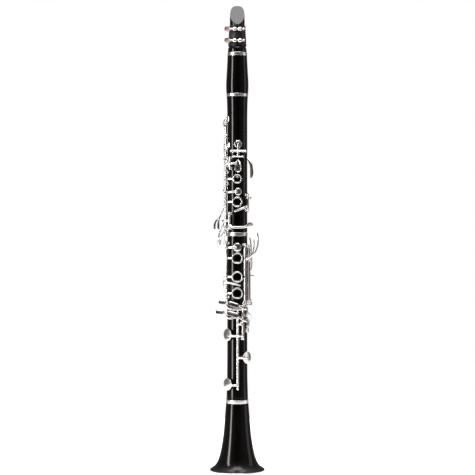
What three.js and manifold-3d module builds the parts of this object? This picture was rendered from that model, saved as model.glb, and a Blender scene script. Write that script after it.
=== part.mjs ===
// A Boehm-system B-flat clarinet standing on its bell.
// Millimetres, +Z up along the bore. The finger holes face -Y, and the origin is the centre of the bell rim.
import * as THREE from 'three';
import { mergeVertices } from 'three/addons/utils/BufferGeometryUtils.js';
import Module from 'manifold-3d';

const wasm = await Module();
wasm.setup();

// ---------------------------------------------------------------- driving dimensions

const GAP = 0.3;                 // clearance between neighbouring pieces
const BORE_R = 7.3;

// Heights of the joints between the sections, from the bell rim up.
const BELL_TOP = 105.4;
const LOWER_TOP = 341.4;
const UPPER_TOP = 532.3;
const BARREL_TOP = 598.5;
const TIP = 667;

// Bell.
const RIM_R = 39.7;
const RIM_RING_H = 2.8;
const RIM_RING_WALL = 2.8;
const RIM_INNER_R = RIM_R - RIM_RING_WALL;

// Tenons and the sockets that take them.
const TENON_R = 10.9;
const TENON_L = 18;
const TENON_GROOVE_R = 9.4;
const SOCKET_R = 11.35;
const CORK_MARGIN = 3;           // bare tenon at each end of the cork

// Key work: the radii are from the bore axis.
const BODY_R = 14.3;
const SEAT_R = BODY_R + 0.35;    // underside of a closed pad
const HINGE_R = 17.8;            // axis of a hinge tube
const FRONT_OPEN = 1.3;          // how far a finger ring stands above its seat
const TUBE_R = 1.8;
const TUBE_BORE_R = 1.25;
const PIVOT_R = 0.9;             // steel rod through a hinge tube
const POST_HEAD_R = 2.0;
const POST_STEM_R = 1.1;
const POST_ROOT_R = BODY_R + 0.05;
const ARM_W = 2.8;
const ARM_T = 1.6;

// Facets round a full turn.
const BODY_SIDES = 16;
const TUBE_SIDES = 8;
const CUP_SIDES = 10;
const POST_SIDES = 6;
const BORE_SIDES = 12;
const RING_SIDES = 32;

const CUT_PAST = 5;              // how far a cutting piece runs past the solid
const ARM_SIDES = 4;

// ---------------------------------------------------------------- materials

const finish = (color, roughness, metalness) =>
  new THREE.MeshStandardMaterial({ color, roughness, metalness });

const wood = () => finish(0x141213, 0.34, 0);
const ebonite = () => finish(0x101012, 0.25, 0);
const silver = () => finish(0xd9d7d3, 0.16, 1);
const steel = () => finish(0xb9b9bb, 0.3, 1);
const cork = () => finish(0xc39a6b, 0.85, 0);
const cane = () => finish(0xdcc27e, 0.6, 0);
const leather = () => finish(0x191716, 0.6, 0);

// ---------------------------------------------------------------- places round the body

const rad = THREE.MathUtils.degToRad;

/** Point at an angle round the bore (0 at the front, positive towards +X), a radius and a height. */
function at(angle, radius, z) {
  return new THREE.Vector3(radius * Math.sin(rad(angle)), -radius * Math.cos(rad(angle)), z);
}

/** Angle round the bore of a point on the front at SIDE_VIEW distance x and the given radius. */
function angleAt(x, radius = HINGE_R) {
  return THREE.MathUtils.radToDeg(Math.asin(x / radius));
}

/** Frame at a place round the body: X runs round it, Y runs up it and Z points straight out. */
function frameAt(angle, radius, z) {
  const round = new THREE.Vector3(Math.cos(rad(angle)), Math.sin(rad(angle)), 0);
  const up = new THREE.Vector3(0, 0, 1);
  const out = new THREE.Vector3(Math.sin(rad(angle)), -Math.cos(rad(angle)), 0);
  return new THREE.Matrix4().makeBasis(round, up, out).setPosition(at(angle, radius, z));
}

// ---------------------------------------------------------------- solids

/** Closed three.js geometry, moved by a matrix, as a solid that can be joined and cut. */
function solid(geometry, matrix = new THREE.Matrix4()) {
  const bare = geometry.clone().applyMatrix4(matrix);
  bare.deleteAttribute('normal');
  bare.deleteAttribute('uv');
  const merged = mergeVertices(bare, 1e-4);
  return new wasm.Manifold(new wasm.Mesh({
    numProp: 3,
    vertProperties: Float32Array.from(merged.getAttribute('position').array),
    triVerts: Uint32Array.from(merged.getIndex().array),
  }));
}

const join = (pieces) => pieces.reduce((whole, piece) => whole.add(piece));

/** Solid of revolution about +Z from [radius, height] corners that start and end on the axis or close. */
function turned(outline, sides = BODY_SIDES) {
  const points = outline.map(([r, z]) => new THREE.Vector2(r, z));
  if (THREE.ShapeUtils.area(points) < 0) points.reverse();
  const geometry = new THREE.LatheGeometry(points, sides);
  geometry.rotateX(Math.PI / 2);
  return solid(geometry);
}

/** Ring of rectangular section about +Z. */
function ring(innerR, outerR, z0, z1, sides = BODY_SIDES) {
  return turned([[innerR, z0], [outerR, z0], [outerR, z1], [innerR, z1], [innerR, z0]], sides);
}

/** Round bar between two points. */
function rod(from, to, radius, sides = TUBE_SIDES) {
  const along = new THREE.Vector3().subVectors(to, from);
  const up = new THREE.Vector3(0, 1, 0);
  const turn = new THREE.Quaternion().setFromUnitVectors(up, along.clone().normalize());
  const middle = new THREE.Vector3().addVectors(from, to).multiplyScalar(0.5);
  const matrix = new THREE.Matrix4().compose(middle, turn, new THREE.Vector3(1, 1, 1));
  return solid(new THREE.CylinderGeometry(radius, radius, along.length(), sides), matrix);
}

/** Flat outline in the frame of a place, extruded straight out from it. */
function plate(shape, thickness, frame, curveSegments = 6) {
  const geometry = new THREE.ExtrudeGeometry(shape, { depth: thickness, bevelEnabled: false, curveSegments });
  return solid(geometry, frame);
}

/** Outline with half-round ends, from (x0, y0) to (x1, y1). */
function slotShape(x0, y0, x1, y1, halfWidth) {
  const along = Math.atan2(y1 - y0, x1 - x0);
  const shape = new THREE.Shape();
  shape.absarc(x0, y0, halfWidth, along + Math.PI / 2, along + 1.5 * Math.PI, false);
  shape.absarc(x1, y1, halfWidth, along - Math.PI / 2, along + Math.PI / 2, false);
  shape.closePath();
  return shape;
}

/**
 * Metal arm that follows the body: stations are [angle, radius, height, width, thickness], the last two
 * optional. It is a bar bent along a smooth curve, with its flat side kept square to the bore.
 */
function arm(stations, { width = ARM_W, thickness = ARM_T, steps = 1, sides = ARM_SIDES } = {}) {
  const points = stations.map(([a, r, z]) => new THREE.Vector3(a, r, z));
  const places = new THREE.CatmullRomCurve3(points, false, 'centripetal');
  const count = (stations.length - 1) * steps;
  const sizeAt = (u, index, usual) => {
    const s = u * (stations.length - 1);
    const i = Math.min(Math.floor(s), stations.length - 2);
    const low = stations[i][index] ?? usual;
    const high = stations[i + 1][index] ?? usual;
    return low + (high - low) * (s - i);
  };
  const bar = new THREE.CylinderGeometry(Math.SQRT2, Math.SQRT2, 1, sides, count, false, Math.PI / 4);
  const position = bar.getAttribute('position');
  for (let v = 0; v < position.count; v += 1) {
    const u = THREE.MathUtils.clamp(position.getY(v) + 0.5, 0, 1);
    const here = places.getPoint(u);
    const before = places.getPoint(Math.max(u - 0.01, 0));
    const after = places.getPoint(Math.min(u + 0.01, 1));
    const point = at(here.x, here.y, here.z);
    const along = at(after.x, after.y, after.z).sub(at(before.x, before.y, before.z)).normalize();
    const out = at(here.x, 1, 0).setZ(0);
    const across = new THREE.Vector3().crossVectors(along, out).normalize();
    const lift = new THREE.Vector3().crossVectors(across, along).normalize();
    point.addScaledVector(across, position.getX(v) * sizeAt(u, 3, width) / 2);
    point.addScaledVector(lift, position.getZ(v) * sizeAt(u, 4, thickness) / 2);
    position.setXYZ(v, point.x, point.y, point.z);
  }
  return solid(bar);
}

// ---------------------------------------------------------------- the scene graph

const group = new THREE.Group();

/** Adds one named node made from a solid. */
function node(name, piece, material) {
  const mesh = piece.getMesh();
  const geometry = new THREE.BufferGeometry();
  const stride = mesh.numProp;
  const xyz = new Float32Array(mesh.vertProperties.length / stride * 3);
  for (let v = 0; v < xyz.length / 3; v += 1) {
    xyz.set(mesh.vertProperties.subarray(v * stride, v * stride + 3), v * 3);
  }
  geometry.setAttribute('position', new THREE.BufferAttribute(xyz, 3));
  geometry.setIndex(new THREE.BufferAttribute(Uint32Array.from(mesh.triVerts), 1));
  geometry.computeVertexNormals();
  const made = new THREE.Mesh(geometry, material);
  made.name = name;
  group.add(made);
}

// ---------------------------------------------------------------- tenons and corks

/** Half outline of a tenon that points down from z (direction -1) or up from it (+1), bore excluded. */
function tenonOutline(z, direction) {
  const groove0 = z + direction * CORK_MARGIN;
  const groove1 = z + direction * (TENON_L - CORK_MARGIN);
  const end = z + direction * TENON_L;
  return [
    [TENON_R, z], [TENON_R, groove0], [TENON_GROOVE_R, groove0],
    [TENON_GROOVE_R, groove1], [TENON_R, groove1], [TENON_R, end],
  ];
}

/** Cork ring that fills the groove of a tenon. */
function tenonCork(z, direction) {
  const edges = [z + direction * (CORK_MARGIN + GAP), z + direction * (TENON_L - CORK_MARGIN - GAP)];
  return ring(TENON_GROOVE_R + GAP, SOCKET_R - GAP, Math.min(...edges), Math.max(...edges));
}

const SOCKET_DEPTH = TENON_L + 0.5;

// ---------------------------------------------------------------- mouthpiece, reed and ligature

const MOUTHPIECE_Z = BARREL_TOP + GAP;
const LIGATURE_Z0 = 608;
const LIGATURE_Z1 = 637;
const LIGATURE_WALL = 0.7;
const LIGATURE_LEAN = 0.02;
const TABLE_Y = 8.9;
const TIP_Y = 7.6;
const REED_W = 12.8;
const REED_T = 2.9;
const REED_L = 65.8;
const BEAK_Z = 637.4;

// Planes that flat outlines are drawn on before they are cut through: side view (Y, Z) and front view (X, Z).
const SIDE_VIEW = new THREE.Matrix4().set(0, 0, 1, -20, 1, 0, 0, 0, 0, 1, 0, 0, 0, 0, 0, 1);
const FRONT_VIEW = new THREE.Matrix4().makeRotationX(Math.PI / 2).setPosition(0, 20, 0);

/** Half width of the mouthpiece at a height. */
const mouthpieceR = (z) => THREE.MathUtils.mapLinear(z, LIGATURE_Z0, BEAK_Z, 12.2, 10.7);

function mouthpiece() {
  const shank = turned([
    [0, MOUTHPIECE_Z - TENON_L],
    ...tenonOutline(MOUTHPIECE_Z, -1).reverse(),
    [13.5, MOUTHPIECE_Z], [13.1, MOUTHPIECE_Z + 6.5], [mouthpieceR(LIGATURE_Z0), LIGATURE_Z0 - 0.6],
    [mouthpieceR(BEAK_Z), BEAK_Z], [10.2, TIP + 1], [0, TIP + 1],
  ]);
  // The tip is rounded in front view.
  const outline = new THREE.Shape();
  outline.moveTo(-20, MOUTHPIECE_Z - TENON_L - 1);
  outline.lineTo(20, MOUTHPIECE_Z - TENON_L - 1);
  outline.lineTo(20, 640);
  outline.lineTo(10.6, 644);
  outline.quadraticCurveTo(9.9, TIP, 0, TIP);
  outline.quadraticCurveTo(-9.9, TIP, -10.6, 644);
  outline.lineTo(-20, 640);
  outline.closePath();
  // The beak slopes from the front edge back to the tip, and the table for the reed is flat.
  const beak = new THREE.Shape([
    new THREE.Vector2(-30, BEAK_Z), new THREE.Vector2(-10.9, BEAK_Z),
    new THREE.Vector2(TIP_Y, TIP + 0.5), new THREE.Vector2(TIP_Y, TIP + 10), new THREE.Vector2(-30, TIP + 10),
  ]);
  const table = new THREE.Shape([
    new THREE.Vector2(TABLE_Y, 600.5), new THREE.Vector2(30, 600.5),
    new THREE.Vector2(30, TIP + 10), new THREE.Vector2(TABLE_Y, TIP + 10),
  ]);
  const windowCut = new THREE.Shape([
    new THREE.Vector2(-4.5, 631), new THREE.Vector2(4.5, 631),
    new THREE.Vector2(5.2, 662), new THREE.Vector2(-5.2, 662),
  ]);
  const chamber = new THREE.Shape([
    new THREE.Vector2(-3.5, 630), new THREE.Vector2(TABLE_Y + 2, 630),
    new THREE.Vector2(TABLE_Y + 2, 663), new THREE.Vector2(TIP_Y - 0.4, 663),
  ]);
  const chamberCut = plate(chamber, 40, SIDE_VIEW)
    .intersect(plate(windowCut, 40, FRONT_VIEW));
  return shank
    .intersect(plate(outline, 40, FRONT_VIEW, 8))
    .subtract(plate(beak, 40, SIDE_VIEW))
    .subtract(plate(table, 40, SIDE_VIEW))
    .subtract(rod(new THREE.Vector3(0, 0, 570), new THREE.Vector3(0, 0, 634), BORE_R - 0.3, BORE_SIDES))
    .subtract(chamberCut);
}

function reed() {
  const z0 = TIP - 0.4 - REED_L;
  const vamp = z0 + 32;
  const top = TABLE_Y + GAP;
  const side = new THREE.Shape([
    new THREE.Vector2(top, z0), new THREE.Vector2(top + REED_T, z0),
    new THREE.Vector2(top + REED_T, vamp), new THREE.Vector2(top + 1.5, vamp + 14),
    new THREE.Vector2(top + 0.35, TIP - 0.4), new THREE.Vector2(top, TIP - 0.4),
  ]);
  const outline = new THREE.Shape();
  outline.moveTo(-5.4, z0 - 1);
  outline.lineTo(5.4, z0 - 1);
  outline.lineTo(REED_W / 2, TIP - 8);
  outline.quadraticCurveTo(REED_W / 2 - 0.3, TIP - 0.4, 0, TIP - 0.4);
  outline.quadraticCurveTo(-REED_W / 2 + 0.3, TIP - 0.4, -REED_W / 2, TIP - 8);
  outline.closePath();
  const backR = top + REED_T;
  const back = turned([[0, z0 - 2], [backR, z0 - 2], [backR, TIP + 2], [0, TIP + 2]], RING_SIDES);
  return plate(side, 40, SIDE_VIEW).intersect(plate(outline, 40, FRONT_VIEW)).intersect(back);
}

const LIGATURE_SCREWS = { ligature_screw_lower: 614.5, ligature_screw_upper: 630.6 };
const SCREW_Y = -14.7;
const SCREW_R = 1.1;
const KNUCKLE_R = 2.8;
const KNUCKLE_L = 6.9;
const PADDLE_R = 4.25;
const PADDLE_X = -14.4;

function ligatureBand() {
  const height = LIGATURE_Z1 - LIGATURE_Z0;
  // The cone leans back a little, so that it also takes in the reed.
  const lean = new THREE.Matrix4().set(1, 0, 0, 0, 0, 1, LIGATURE_LEAN, GAP, 0, 0, 1, LIGATURE_Z0, 0, 0, 0, 1);
  const cone = (extra, z0, z1) => new THREE.LatheGeometry([
    new THREE.Vector2(0, z0), new THREE.Vector2(12.9 + extra, z0),
    new THREE.Vector2(12 + extra, z1), new THREE.Vector2(0, z1)], BODY_SIDES).rotateX(Math.PI / 2);
  let band = solid(cone(LIGATURE_WALL, 0, height), lean);
  for (const z of Object.values(LIGATURE_SCREWS)) {
    for (const side of [-1, 1]) {
      const from = new THREE.Vector3(side < 0 ? -KNUCKLE_L - 0.25 : 0.25, SCREW_Y, z);
      const to = from.clone().setX(from.x + KNUCKLE_L);
      band = band.add(rod(from, to, KNUCKLE_R));
    }
  }
  for (const z of Object.values(LIGATURE_SCREWS)) {
    const way = [-20, 20].map((x) => new THREE.Vector3(x, SCREW_Y, z));
    band = band.subtract(rod(...way, SCREW_R + GAP));
  }
  return band.subtract(solid(cone(0, -1, height + 1), lean));
}

function ligatureScrew(z) {
  const paddle = rod(new THREE.Vector3(PADDLE_X, SCREW_Y - 0.9, z),
    new THREE.Vector3(PADDLE_X, SCREW_Y + 0.9, z), PADDLE_R, 14);
  const across = (x0, x1, radius) =>
    rod(new THREE.Vector3(x0, SCREW_Y, z), new THREE.Vector3(x1, SCREW_Y, z), radius);
  const shaft = across(PADDLE_X + 2, 10.6, SCREW_R);
  const collar = across(-10.8, -7.6, 1.7);
  const tail = across(7.6, 10.6, 1.7);
  return join([paddle, shaft, collar, tail]);
}

node('mouthpiece', mouthpiece(), ebonite());
node('reed', reed(), cane());
node('ligature_band', ligatureBand(), leather());
for (const [name, z] of Object.entries(LIGATURE_SCREWS)) {
  node(name, ligatureScrew(z), silver());
}
node('mouthpiece_cork', tenonCork(MOUTHPIECE_Z, -1), cork());

// ---------------------------------------------------------------- barrel

const BARREL_RING_TOP_Z = 593.7;
const BARREL_RING_LOW_Z0 = UPPER_TOP + 3.2;
const BARREL_RING_LOW_Z1 = UPPER_TOP + 7.4;
const BARREL_Z0 = UPPER_TOP + GAP;

/** Round bar on the bore axis, for cutting. */
const core = (z0, z1, radius, sides = BODY_SIDES) =>
  rod(new THREE.Vector3(0, 0, z0), new THREE.Vector3(0, 0, z1), radius, sides);

/** Cuts the bore of a section, and a socket at its lower or upper end where it has one. */
function bored(body, z0, z1, { socketLow = false, socketHigh = false } = {}) {
  const cuts = [core(z0 - CUT_PAST, z1 + CUT_PAST, BORE_R, BORE_SIDES)];
  if (socketLow) {
    cuts.push(core(z0 - CUT_PAST, z0 + SOCKET_DEPTH, SOCKET_R));
  }
  if (socketHigh) {
    cuts.push(core(z1 - SOCKET_DEPTH, z1 + CUT_PAST, SOCKET_R));
  }
  return cuts.reduce((whole, cut) => whole.subtract(cut), body);
}

const RING_SEAT = 1.2;           // depth of the rebate that a socket ring sits in

const barrel = turned([
  [0, BARREL_Z0], [15, BARREL_Z0], [15.05, BARREL_RING_LOW_Z0 - GAP],
  [14.9 - RING_SEAT, BARREL_RING_LOW_Z0 - GAP], [14.9 - RING_SEAT, BARREL_RING_LOW_Z1 + GAP],
  [15.4, BARREL_RING_LOW_Z1 + GAP], [15.9, 546], [16, 554], [15.6, 562.5], [15.1, 571], [14.6, 580],
  [14.15, 590], [14.1, BARREL_RING_TOP_Z - GAP], [13.9 - RING_SEAT, BARREL_RING_TOP_Z - GAP],
  [13.9 - RING_SEAT, BARREL_TOP], [0, BARREL_TOP],
]);
node('barrel', bored(barrel, BARREL_Z0, BARREL_TOP, { socketLow: true, socketHigh: true }), wood());
const barrelTopRing = ring(13.9 - RING_SEAT + GAP, 14.05, BARREL_RING_TOP_Z, BARREL_TOP);
const barrelBottomRing = ring(14.9 - RING_SEAT + GAP, 15.4, BARREL_RING_LOW_Z0, BARREL_RING_LOW_Z1);
node('barrel_top_ring', barrelTopRing, silver());
node('barrel_bottom_ring', barrelBottomRing, silver());

// ---------------------------------------------------------------- upper joint, lower joint and bell

/** Tone hole: [angle, height, radius]. */
const UPPER_HOLES = [
  [0, 417.6, 3.6], [0, 384.8, 3.9], [0, 362, 3.9], [180, 424, 4.5],
  [4, 467, 3.2], [4, 399.3, 3.2], [-62, 438, 2.8], [-60, 503, 1.8], [-54, 466, 2.8],
  [-84, 479, 2.6], [-117, 434, 2.8], [-137, 424, 2.8], [95, 391, 3], [-92, 358, 2.8],
];
const LOWER_HOLES = [
  [0, 304.9, 4.2], [0, 278.3, 4.2], [0, 255, 4.4], [0, 320.3, 3.6], [-100, 266.5, 3.2],
  [82, 212, 4.6], [-50, 195.8, 5.6], [50, 163.4, 5.8], [-50, 125.3, 5.8],
];

/** Drills the tone holes through one wall of a section. */
function drilled(body, holes) {
  return holes.reduce((whole, [angle, z, r]) =>
    whole.subtract(rod(at(angle, 3, z), at(angle, 25, z), r, 8)), body);
}

const UPPER_Z0 = LOWER_TOP + GAP;
const upperBody = turned([
  [0, UPPER_Z0 - TENON_L], ...tenonOutline(UPPER_Z0, -1).reverse(),
  [BODY_R, UPPER_Z0], [BODY_R, 505], [14.5, 520], [14.9, UPPER_TOP],
  ...tenonOutline(UPPER_TOP, 1), [0, UPPER_TOP + TENON_L],
]);
const upperBored = bored(upperBody, UPPER_Z0 - TENON_L, UPPER_TOP + TENON_L);
node('upper_joint', drilled(upperBored, UPPER_HOLES), wood());
node('upper_tenon_cork', tenonCork(UPPER_TOP, 1), cork());
node('middle_tenon_cork', tenonCork(UPPER_Z0, -1), cork());

const LOWER_Z0 = BELL_TOP + GAP;
const LOWER_RING_Z0 = 336.3;
const lowerBody = turned([
  [0, LOWER_Z0 - TENON_L], ...tenonOutline(LOWER_Z0, -1).reverse(),
  [15.3, LOWER_Z0], [15.05, 116], [14.6, 130], [BODY_R + 0.1, 150], [BODY_R, 180],
  [BODY_R, LOWER_RING_Z0 - GAP], [BODY_R - RING_SEAT, LOWER_RING_Z0 - GAP],
  [BODY_R - RING_SEAT, LOWER_TOP], [0, LOWER_TOP],
]);
const lowerBored = bored(lowerBody, LOWER_Z0 - TENON_L, LOWER_TOP, { socketHigh: true });
node('lower_joint', drilled(lowerBored, LOWER_HOLES), wood());
const lowerRing = ring(BODY_R - RING_SEAT + GAP, BODY_R + 0.35, LOWER_RING_Z0, LOWER_TOP);
node('lower_joint_socket_ring', lowerRing, silver());
node('bell_tenon_cork', tenonCork(LOWER_Z0, -1), cork());

const BELL_RING_Z0 = 97.5;
const BELL_RING_Z1 = 102.5;
const BELL_NECK_R = 15.4;

/** Points along the smooth flare through a few stations, from the rim up. */
function flare(stations, count) {
  const curve = new THREE.SplineCurve(stations.map(([r, z]) => new THREE.Vector2(r, z)));
  return curve.getPoints(count).map(({ x, y }) => [x, y]);
}

const bell = turned([
  ...flare([[RIM_INNER_R + GAP, RIM_RING_H + GAP], [27, 13], [20.5, 28], [15, 55], [SOCKET_R + 0.4, 84]], 6),
  [SOCKET_R, 85], [SOCKET_R, BELL_TOP], [BELL_NECK_R, BELL_TOP],
  [BELL_NECK_R, BELL_RING_Z1 + GAP], [BELL_NECK_R - RING_SEAT, BELL_RING_Z1 + GAP],
  [BELL_NECK_R - RING_SEAT, BELL_RING_Z0 - GAP], [16, BELL_RING_Z0 - GAP],
  ...flare([[17.4, 80.4], [20.1, 51.8], [23.7, 30.3], [27.65, 16], [32.4, 8],
    [RIM_R - 0.5, RIM_RING_H + GAP]], 7),
  [RIM_INNER_R + GAP, RIM_RING_H + GAP],
]);
node('bell', bell, wood());
node('bell_socket_ring', ring(BELL_NECK_R - RING_SEAT + GAP, 15.9, BELL_RING_Z0, BELL_RING_Z1), silver());
node('bell_rim_ring', turned([
  [RIM_INNER_R, 0], [RIM_R - 0.6, 0], [RIM_R, 0.8], [RIM_R, RIM_RING_H - 0.6],
  [RIM_R - 0.5, RIM_RING_H], [RIM_INNER_R, RIM_RING_H], [RIM_INNER_R, 0],
]), silver());

// ---------------------------------------------------------------- key-work pieces

/** Hinge tube along a line, to be bored once the key is complete. */
const sleeve = (from, to) => rod(from, to, TUBE_R);

/** Cuts the bore of a hinge tube, a little past both ends. */
function hingeBore(from, to) {
  const along = new THREE.Vector3().subVectors(to, from).normalize();
  const start = from.clone().addScaledVector(along, -2);
  const end = to.clone().addScaledVector(along, 2);
  return rod(start, end, TUBE_BORE_R, POST_SIDES);
}

/** Pad cup seen from outside: a low dome with a rolled edge. */
function cup(angle, z, r, lift = 0) {
  const outline = [[0, 0], [r, 0], [r, 1.8], [r * 0.7, 2.8], [0, 2.9]];
  const points = outline.map(([x, y]) => new THREE.Vector2(x, y));
  const geometry = new THREE.LatheGeometry(points, r > 7 ? CUP_SIDES + 4 : CUP_SIDES).rotateX(Math.PI / 2);
  return solid(geometry, frameAt(angle, SEAT_R + lift, z));
}
const CUP_TOP_R = SEAT_R + 2.9;

/** Finger ring round an open hole. */
function fingerRing(angle, z, outerR, innerR, lift) {
  const points = [[innerR, 0], [outerR, 0], [outerR, 1], [outerR - 0.6, 1.4], [innerR, 1.4], [innerR, 0]]
    .map(([x, y]) => new THREE.Vector2(x, y));
  const geometry = new THREE.LatheGeometry(points, BODY_SIDES).rotateX(Math.PI / 2);
  return solid(geometry, frameAt(angle, SEAT_R + lift, z));
}

/** Place on an arm given by its SIDE_VIEW, front-to-back and height distances. */
const spot = (x, y, z, ...size) => [THREE.MathUtils.radToDeg(Math.atan2(x, -y)), Math.hypot(x, y), z, ...size];

/** Arm from a hinge tube on the left of the front to the rim of a finger ring. */
function ringArm(hingeAngle, z, outerR) {
  const edge = spot(0.7 - outerR, -(SEAT_R + FRONT_OPEN + 0.7), z);
  const [edgeAngle, edgeRadius] = edge;
  return arm([[hingeAngle, HINGE_R + 0.6, z], [(2 * hingeAngle + edgeAngle) / 3, HINGE_R + 1, z],
    [(hingeAngle + 2 * edgeAngle) / 3, (HINGE_R + edgeRadius) / 2 + 0.4, z], edge]);
}

/** Ball-headed pillar that stands straight out of the body and holds a pivot at the given radius. */
function post(angle, radius, z, root = POST_ROOT_R) {
  const h = radius - root;
  const outline = [
    [0, 0], [1.9, 0], [POST_STEM_R, 0.9], [POST_STEM_R, h - 1.7],
    [POST_HEAD_R, h - 0.7], [POST_HEAD_R, h + 0.7], [1, h + 1.9], [0, h + 1.9],
  ];
  const points = outline.map(([x, y]) => new THREE.Vector2(x, y));
  const geometry = new THREE.LatheGeometry(points, POST_SIDES).rotateX(Math.PI / 2);
  return solid(geometry, frameAt(angle, root, z));
}

/** Pillars and the steel pivot between them, for a hinge along the body. */
function pillars(angle, heights, radius = HINGE_R) {
  const top = heights[heights.length - 1];
  const pivot = rod(at(angle, radius, heights[0]), at(angle, radius, top), PIVOT_R, POST_SIDES);
  return join([pivot, ...heights.map((z) => post(angle, radius, z))]);
}

/** Hinge line across the body, centred at an angle and height: its two ends. */
function crossHinge(angle, radius, z, halfLength) {
  const round = new THREE.Vector3(Math.cos(rad(angle)), Math.sin(rad(angle)), 0);
  const middle = at(angle, radius, z);
  return [middle.clone().addScaledVector(round, -halfLength), middle.clone().addScaledVector(round, halfLength)];
}

/** Pillars at the ends of a hinge across the body, with its pivot. */
function crossPillars(angle, radius, z, halfLength) {
  const ends = crossHinge(angle, radius, z, halfLength);
  const placeOf = (p) => [THREE.MathUtils.radToDeg(Math.atan2(p.x, -p.y)), Math.hypot(p.x, p.y), p.z];
  return join([rod(ends[0], ends[1], PIVOT_R, POST_SIDES), ...ends.map((p) => post(...placeOf(p)))]);
}

/** Key on a hinge along the body: its tube from z0 to z1, joined to its arms and cups, then bored. */
function key(angle, z0, z1, pieces, radius = HINGE_R) {
  const from = at(angle, radius, z0);
  const to = at(angle, radius, z1);
  return join([sleeve(from, to), ...pieces]).subtract(hingeBore(from, to));
}

/** Key on a hinge across the body. */
function crossKey(angle, radius, z, halfLength, pieces) {
  const [from, to] = crossHinge(angle, radius, z, halfLength);
  return join([sleeve(from, to), ...pieces]).subtract(hingeBore(from, to));
}

// ---------------------------------------------------------------- upper joint keys

// Register key: a long tube on the left of the back, its pad in front of it and its touch behind.
const REGISTER_ANGLE = -112;
node('register_pillars', pillars(REGISTER_ANGLE, [452, 498.5]), steel());
node('register_key', key(REGISTER_ANGLE, 454.5, 496, [
  cup(-60, 503, 4.4),
  arm([[REGISTER_ANGLE, HINGE_R, 493.5], [-98, 19.6, 496], [-78, 19, 501], [-60, CUP_TOP_R - 0.2, 503]]),
  arm([[REGISTER_ANGLE, HINGE_R, 456.5], [-135, 20.6, 456], [-170, 20.6, 455], [-205, 20.6, 452],
    [-228, 21.4, 446], [-240, 23, 438, 6.5, 1.8], [-241, 23.8, 427, 8, 1.8], [-241, 23, 419, 5, 1.6]]),
]), silver());

// Throat A key: a rocker across the front.
const A_RADIUS = 17.4;
node('throat_a_pillars', crossPillars(5, A_RADIUS, 457, 10), steel());
node('throat_a_key', crossKey(5, A_RADIUS, 457, 7.6, [
  cup(4, 467, 5.4),
  arm([[5, A_RADIUS, 457], [4, CUP_TOP_R + 0.3, 462], [4, CUP_TOP_R - 0.4, 468.5, 2]]),
  arm([[5, A_RADIUS, 457], [4, 18.8, 452], [4, 18.8, 449.5]]),
  arm([[-20, 20, 449, 4.6], [-9, 18.9, 449, 3], [4, 18.7, 449, 3.2], [17, 18.9, 449, 3], [28, 20, 449, 4.6]]),
]), silver());

// Throat G sharp key.
const G_SHARP_ANGLE = angleAt(-10.6);
const teardrop = new THREE.Shape();
teardrop.moveTo(0, 7.2);
teardrop.bezierCurveTo(1.6, 6.4, 4.9, 0, 4.8, -6.6);
teardrop.absarc(0, -7, 4.8, 0.08, Math.PI - 0.08, true);
teardrop.bezierCurveTo(-4.9, 0, -1.6, 6.4, 0, 7.2);
node('throat_g_sharp_pillars', pillars(G_SHARP_ANGLE, [432.6, 447.4]), steel());
node('throat_g_sharp_key', key(G_SHARP_ANGLE, 435.2, 444.8, [
  cup(-62, 438, 4.2),
  arm([[G_SHARP_ANGLE, 18.6, 439.5], [-50, 20.2, 439], [-62, 20, 438.4], [-67, 17.2, 438]]),
  arm([[G_SHARP_ANGLE, 18.4, 439.5], [-18, 19.2, 439.5], [0, 18.4, 439]]),
  plate(teardrop, 1.5, frameAt(3.5, 17.6, 438.3)),
]), silver());

// Side keys: four long rockers down the left side, in pairs that share a hinge. They bow out over the
// keys below them to touches that stand off the body.
const SIDE_PAIRS = [
  { name: 'side_trill_pillars', angle: -90, z: 446, keys: [
    { name: 'side_trill_key_upper', offset: 1.95, angle: -84, pad: [-54, 466, 4.2],
      tail: [[-84, 18.4, 380], [-84, 24.5, 365], [-85, 31, 357, 5, 2.2], [-86, 32.6, 351, 5.6, 2.8],
        [-86, 32, 344, 4.6, 2.4]] },
    { name: 'side_trill_key_lower', offset: -1.95, angle: -96, pad: [-84, 479, 4],
      tail: [[-96, 18.4, 380], [-97, 23.2, 368], [-99, 27, 358, 5, 2.2], [-100, 27.6, 351, 5.6, 2.8],
        [-100, 27.2, 344, 4.6, 2.4]] },
  ] },
  { name: 'side_key_pillars', angle: -125.5, z: 402, keys: [
    { name: 'side_b_flat_key', offset: 1.95, angle: -119, pad: [-117, 434, 4.2],
      tail: [[-119, 18.4, 372], [-119, 22, 354], [-118, 28.4, 344, 4.6, 2.2], [-117, 30.8, 339, 5.6, 2.8],
        [-117, 30.4, 333, 4.6, 2.4]] },
    { name: 'side_e_flat_key', offset: -1.95, angle: -132, pad: [-137, 424, 4],
      tail: [[-132, 18.4, 368], [-132, 23, 346], [-130, 31, 334, 4.6, 2.2], [-129, 33.6, 329, 5.6, 2.8],
        [-128, 33.2, 323, 5, 2.4]] },
  ] },
];
const SIDE_RADIUS = 18.3;
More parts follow.
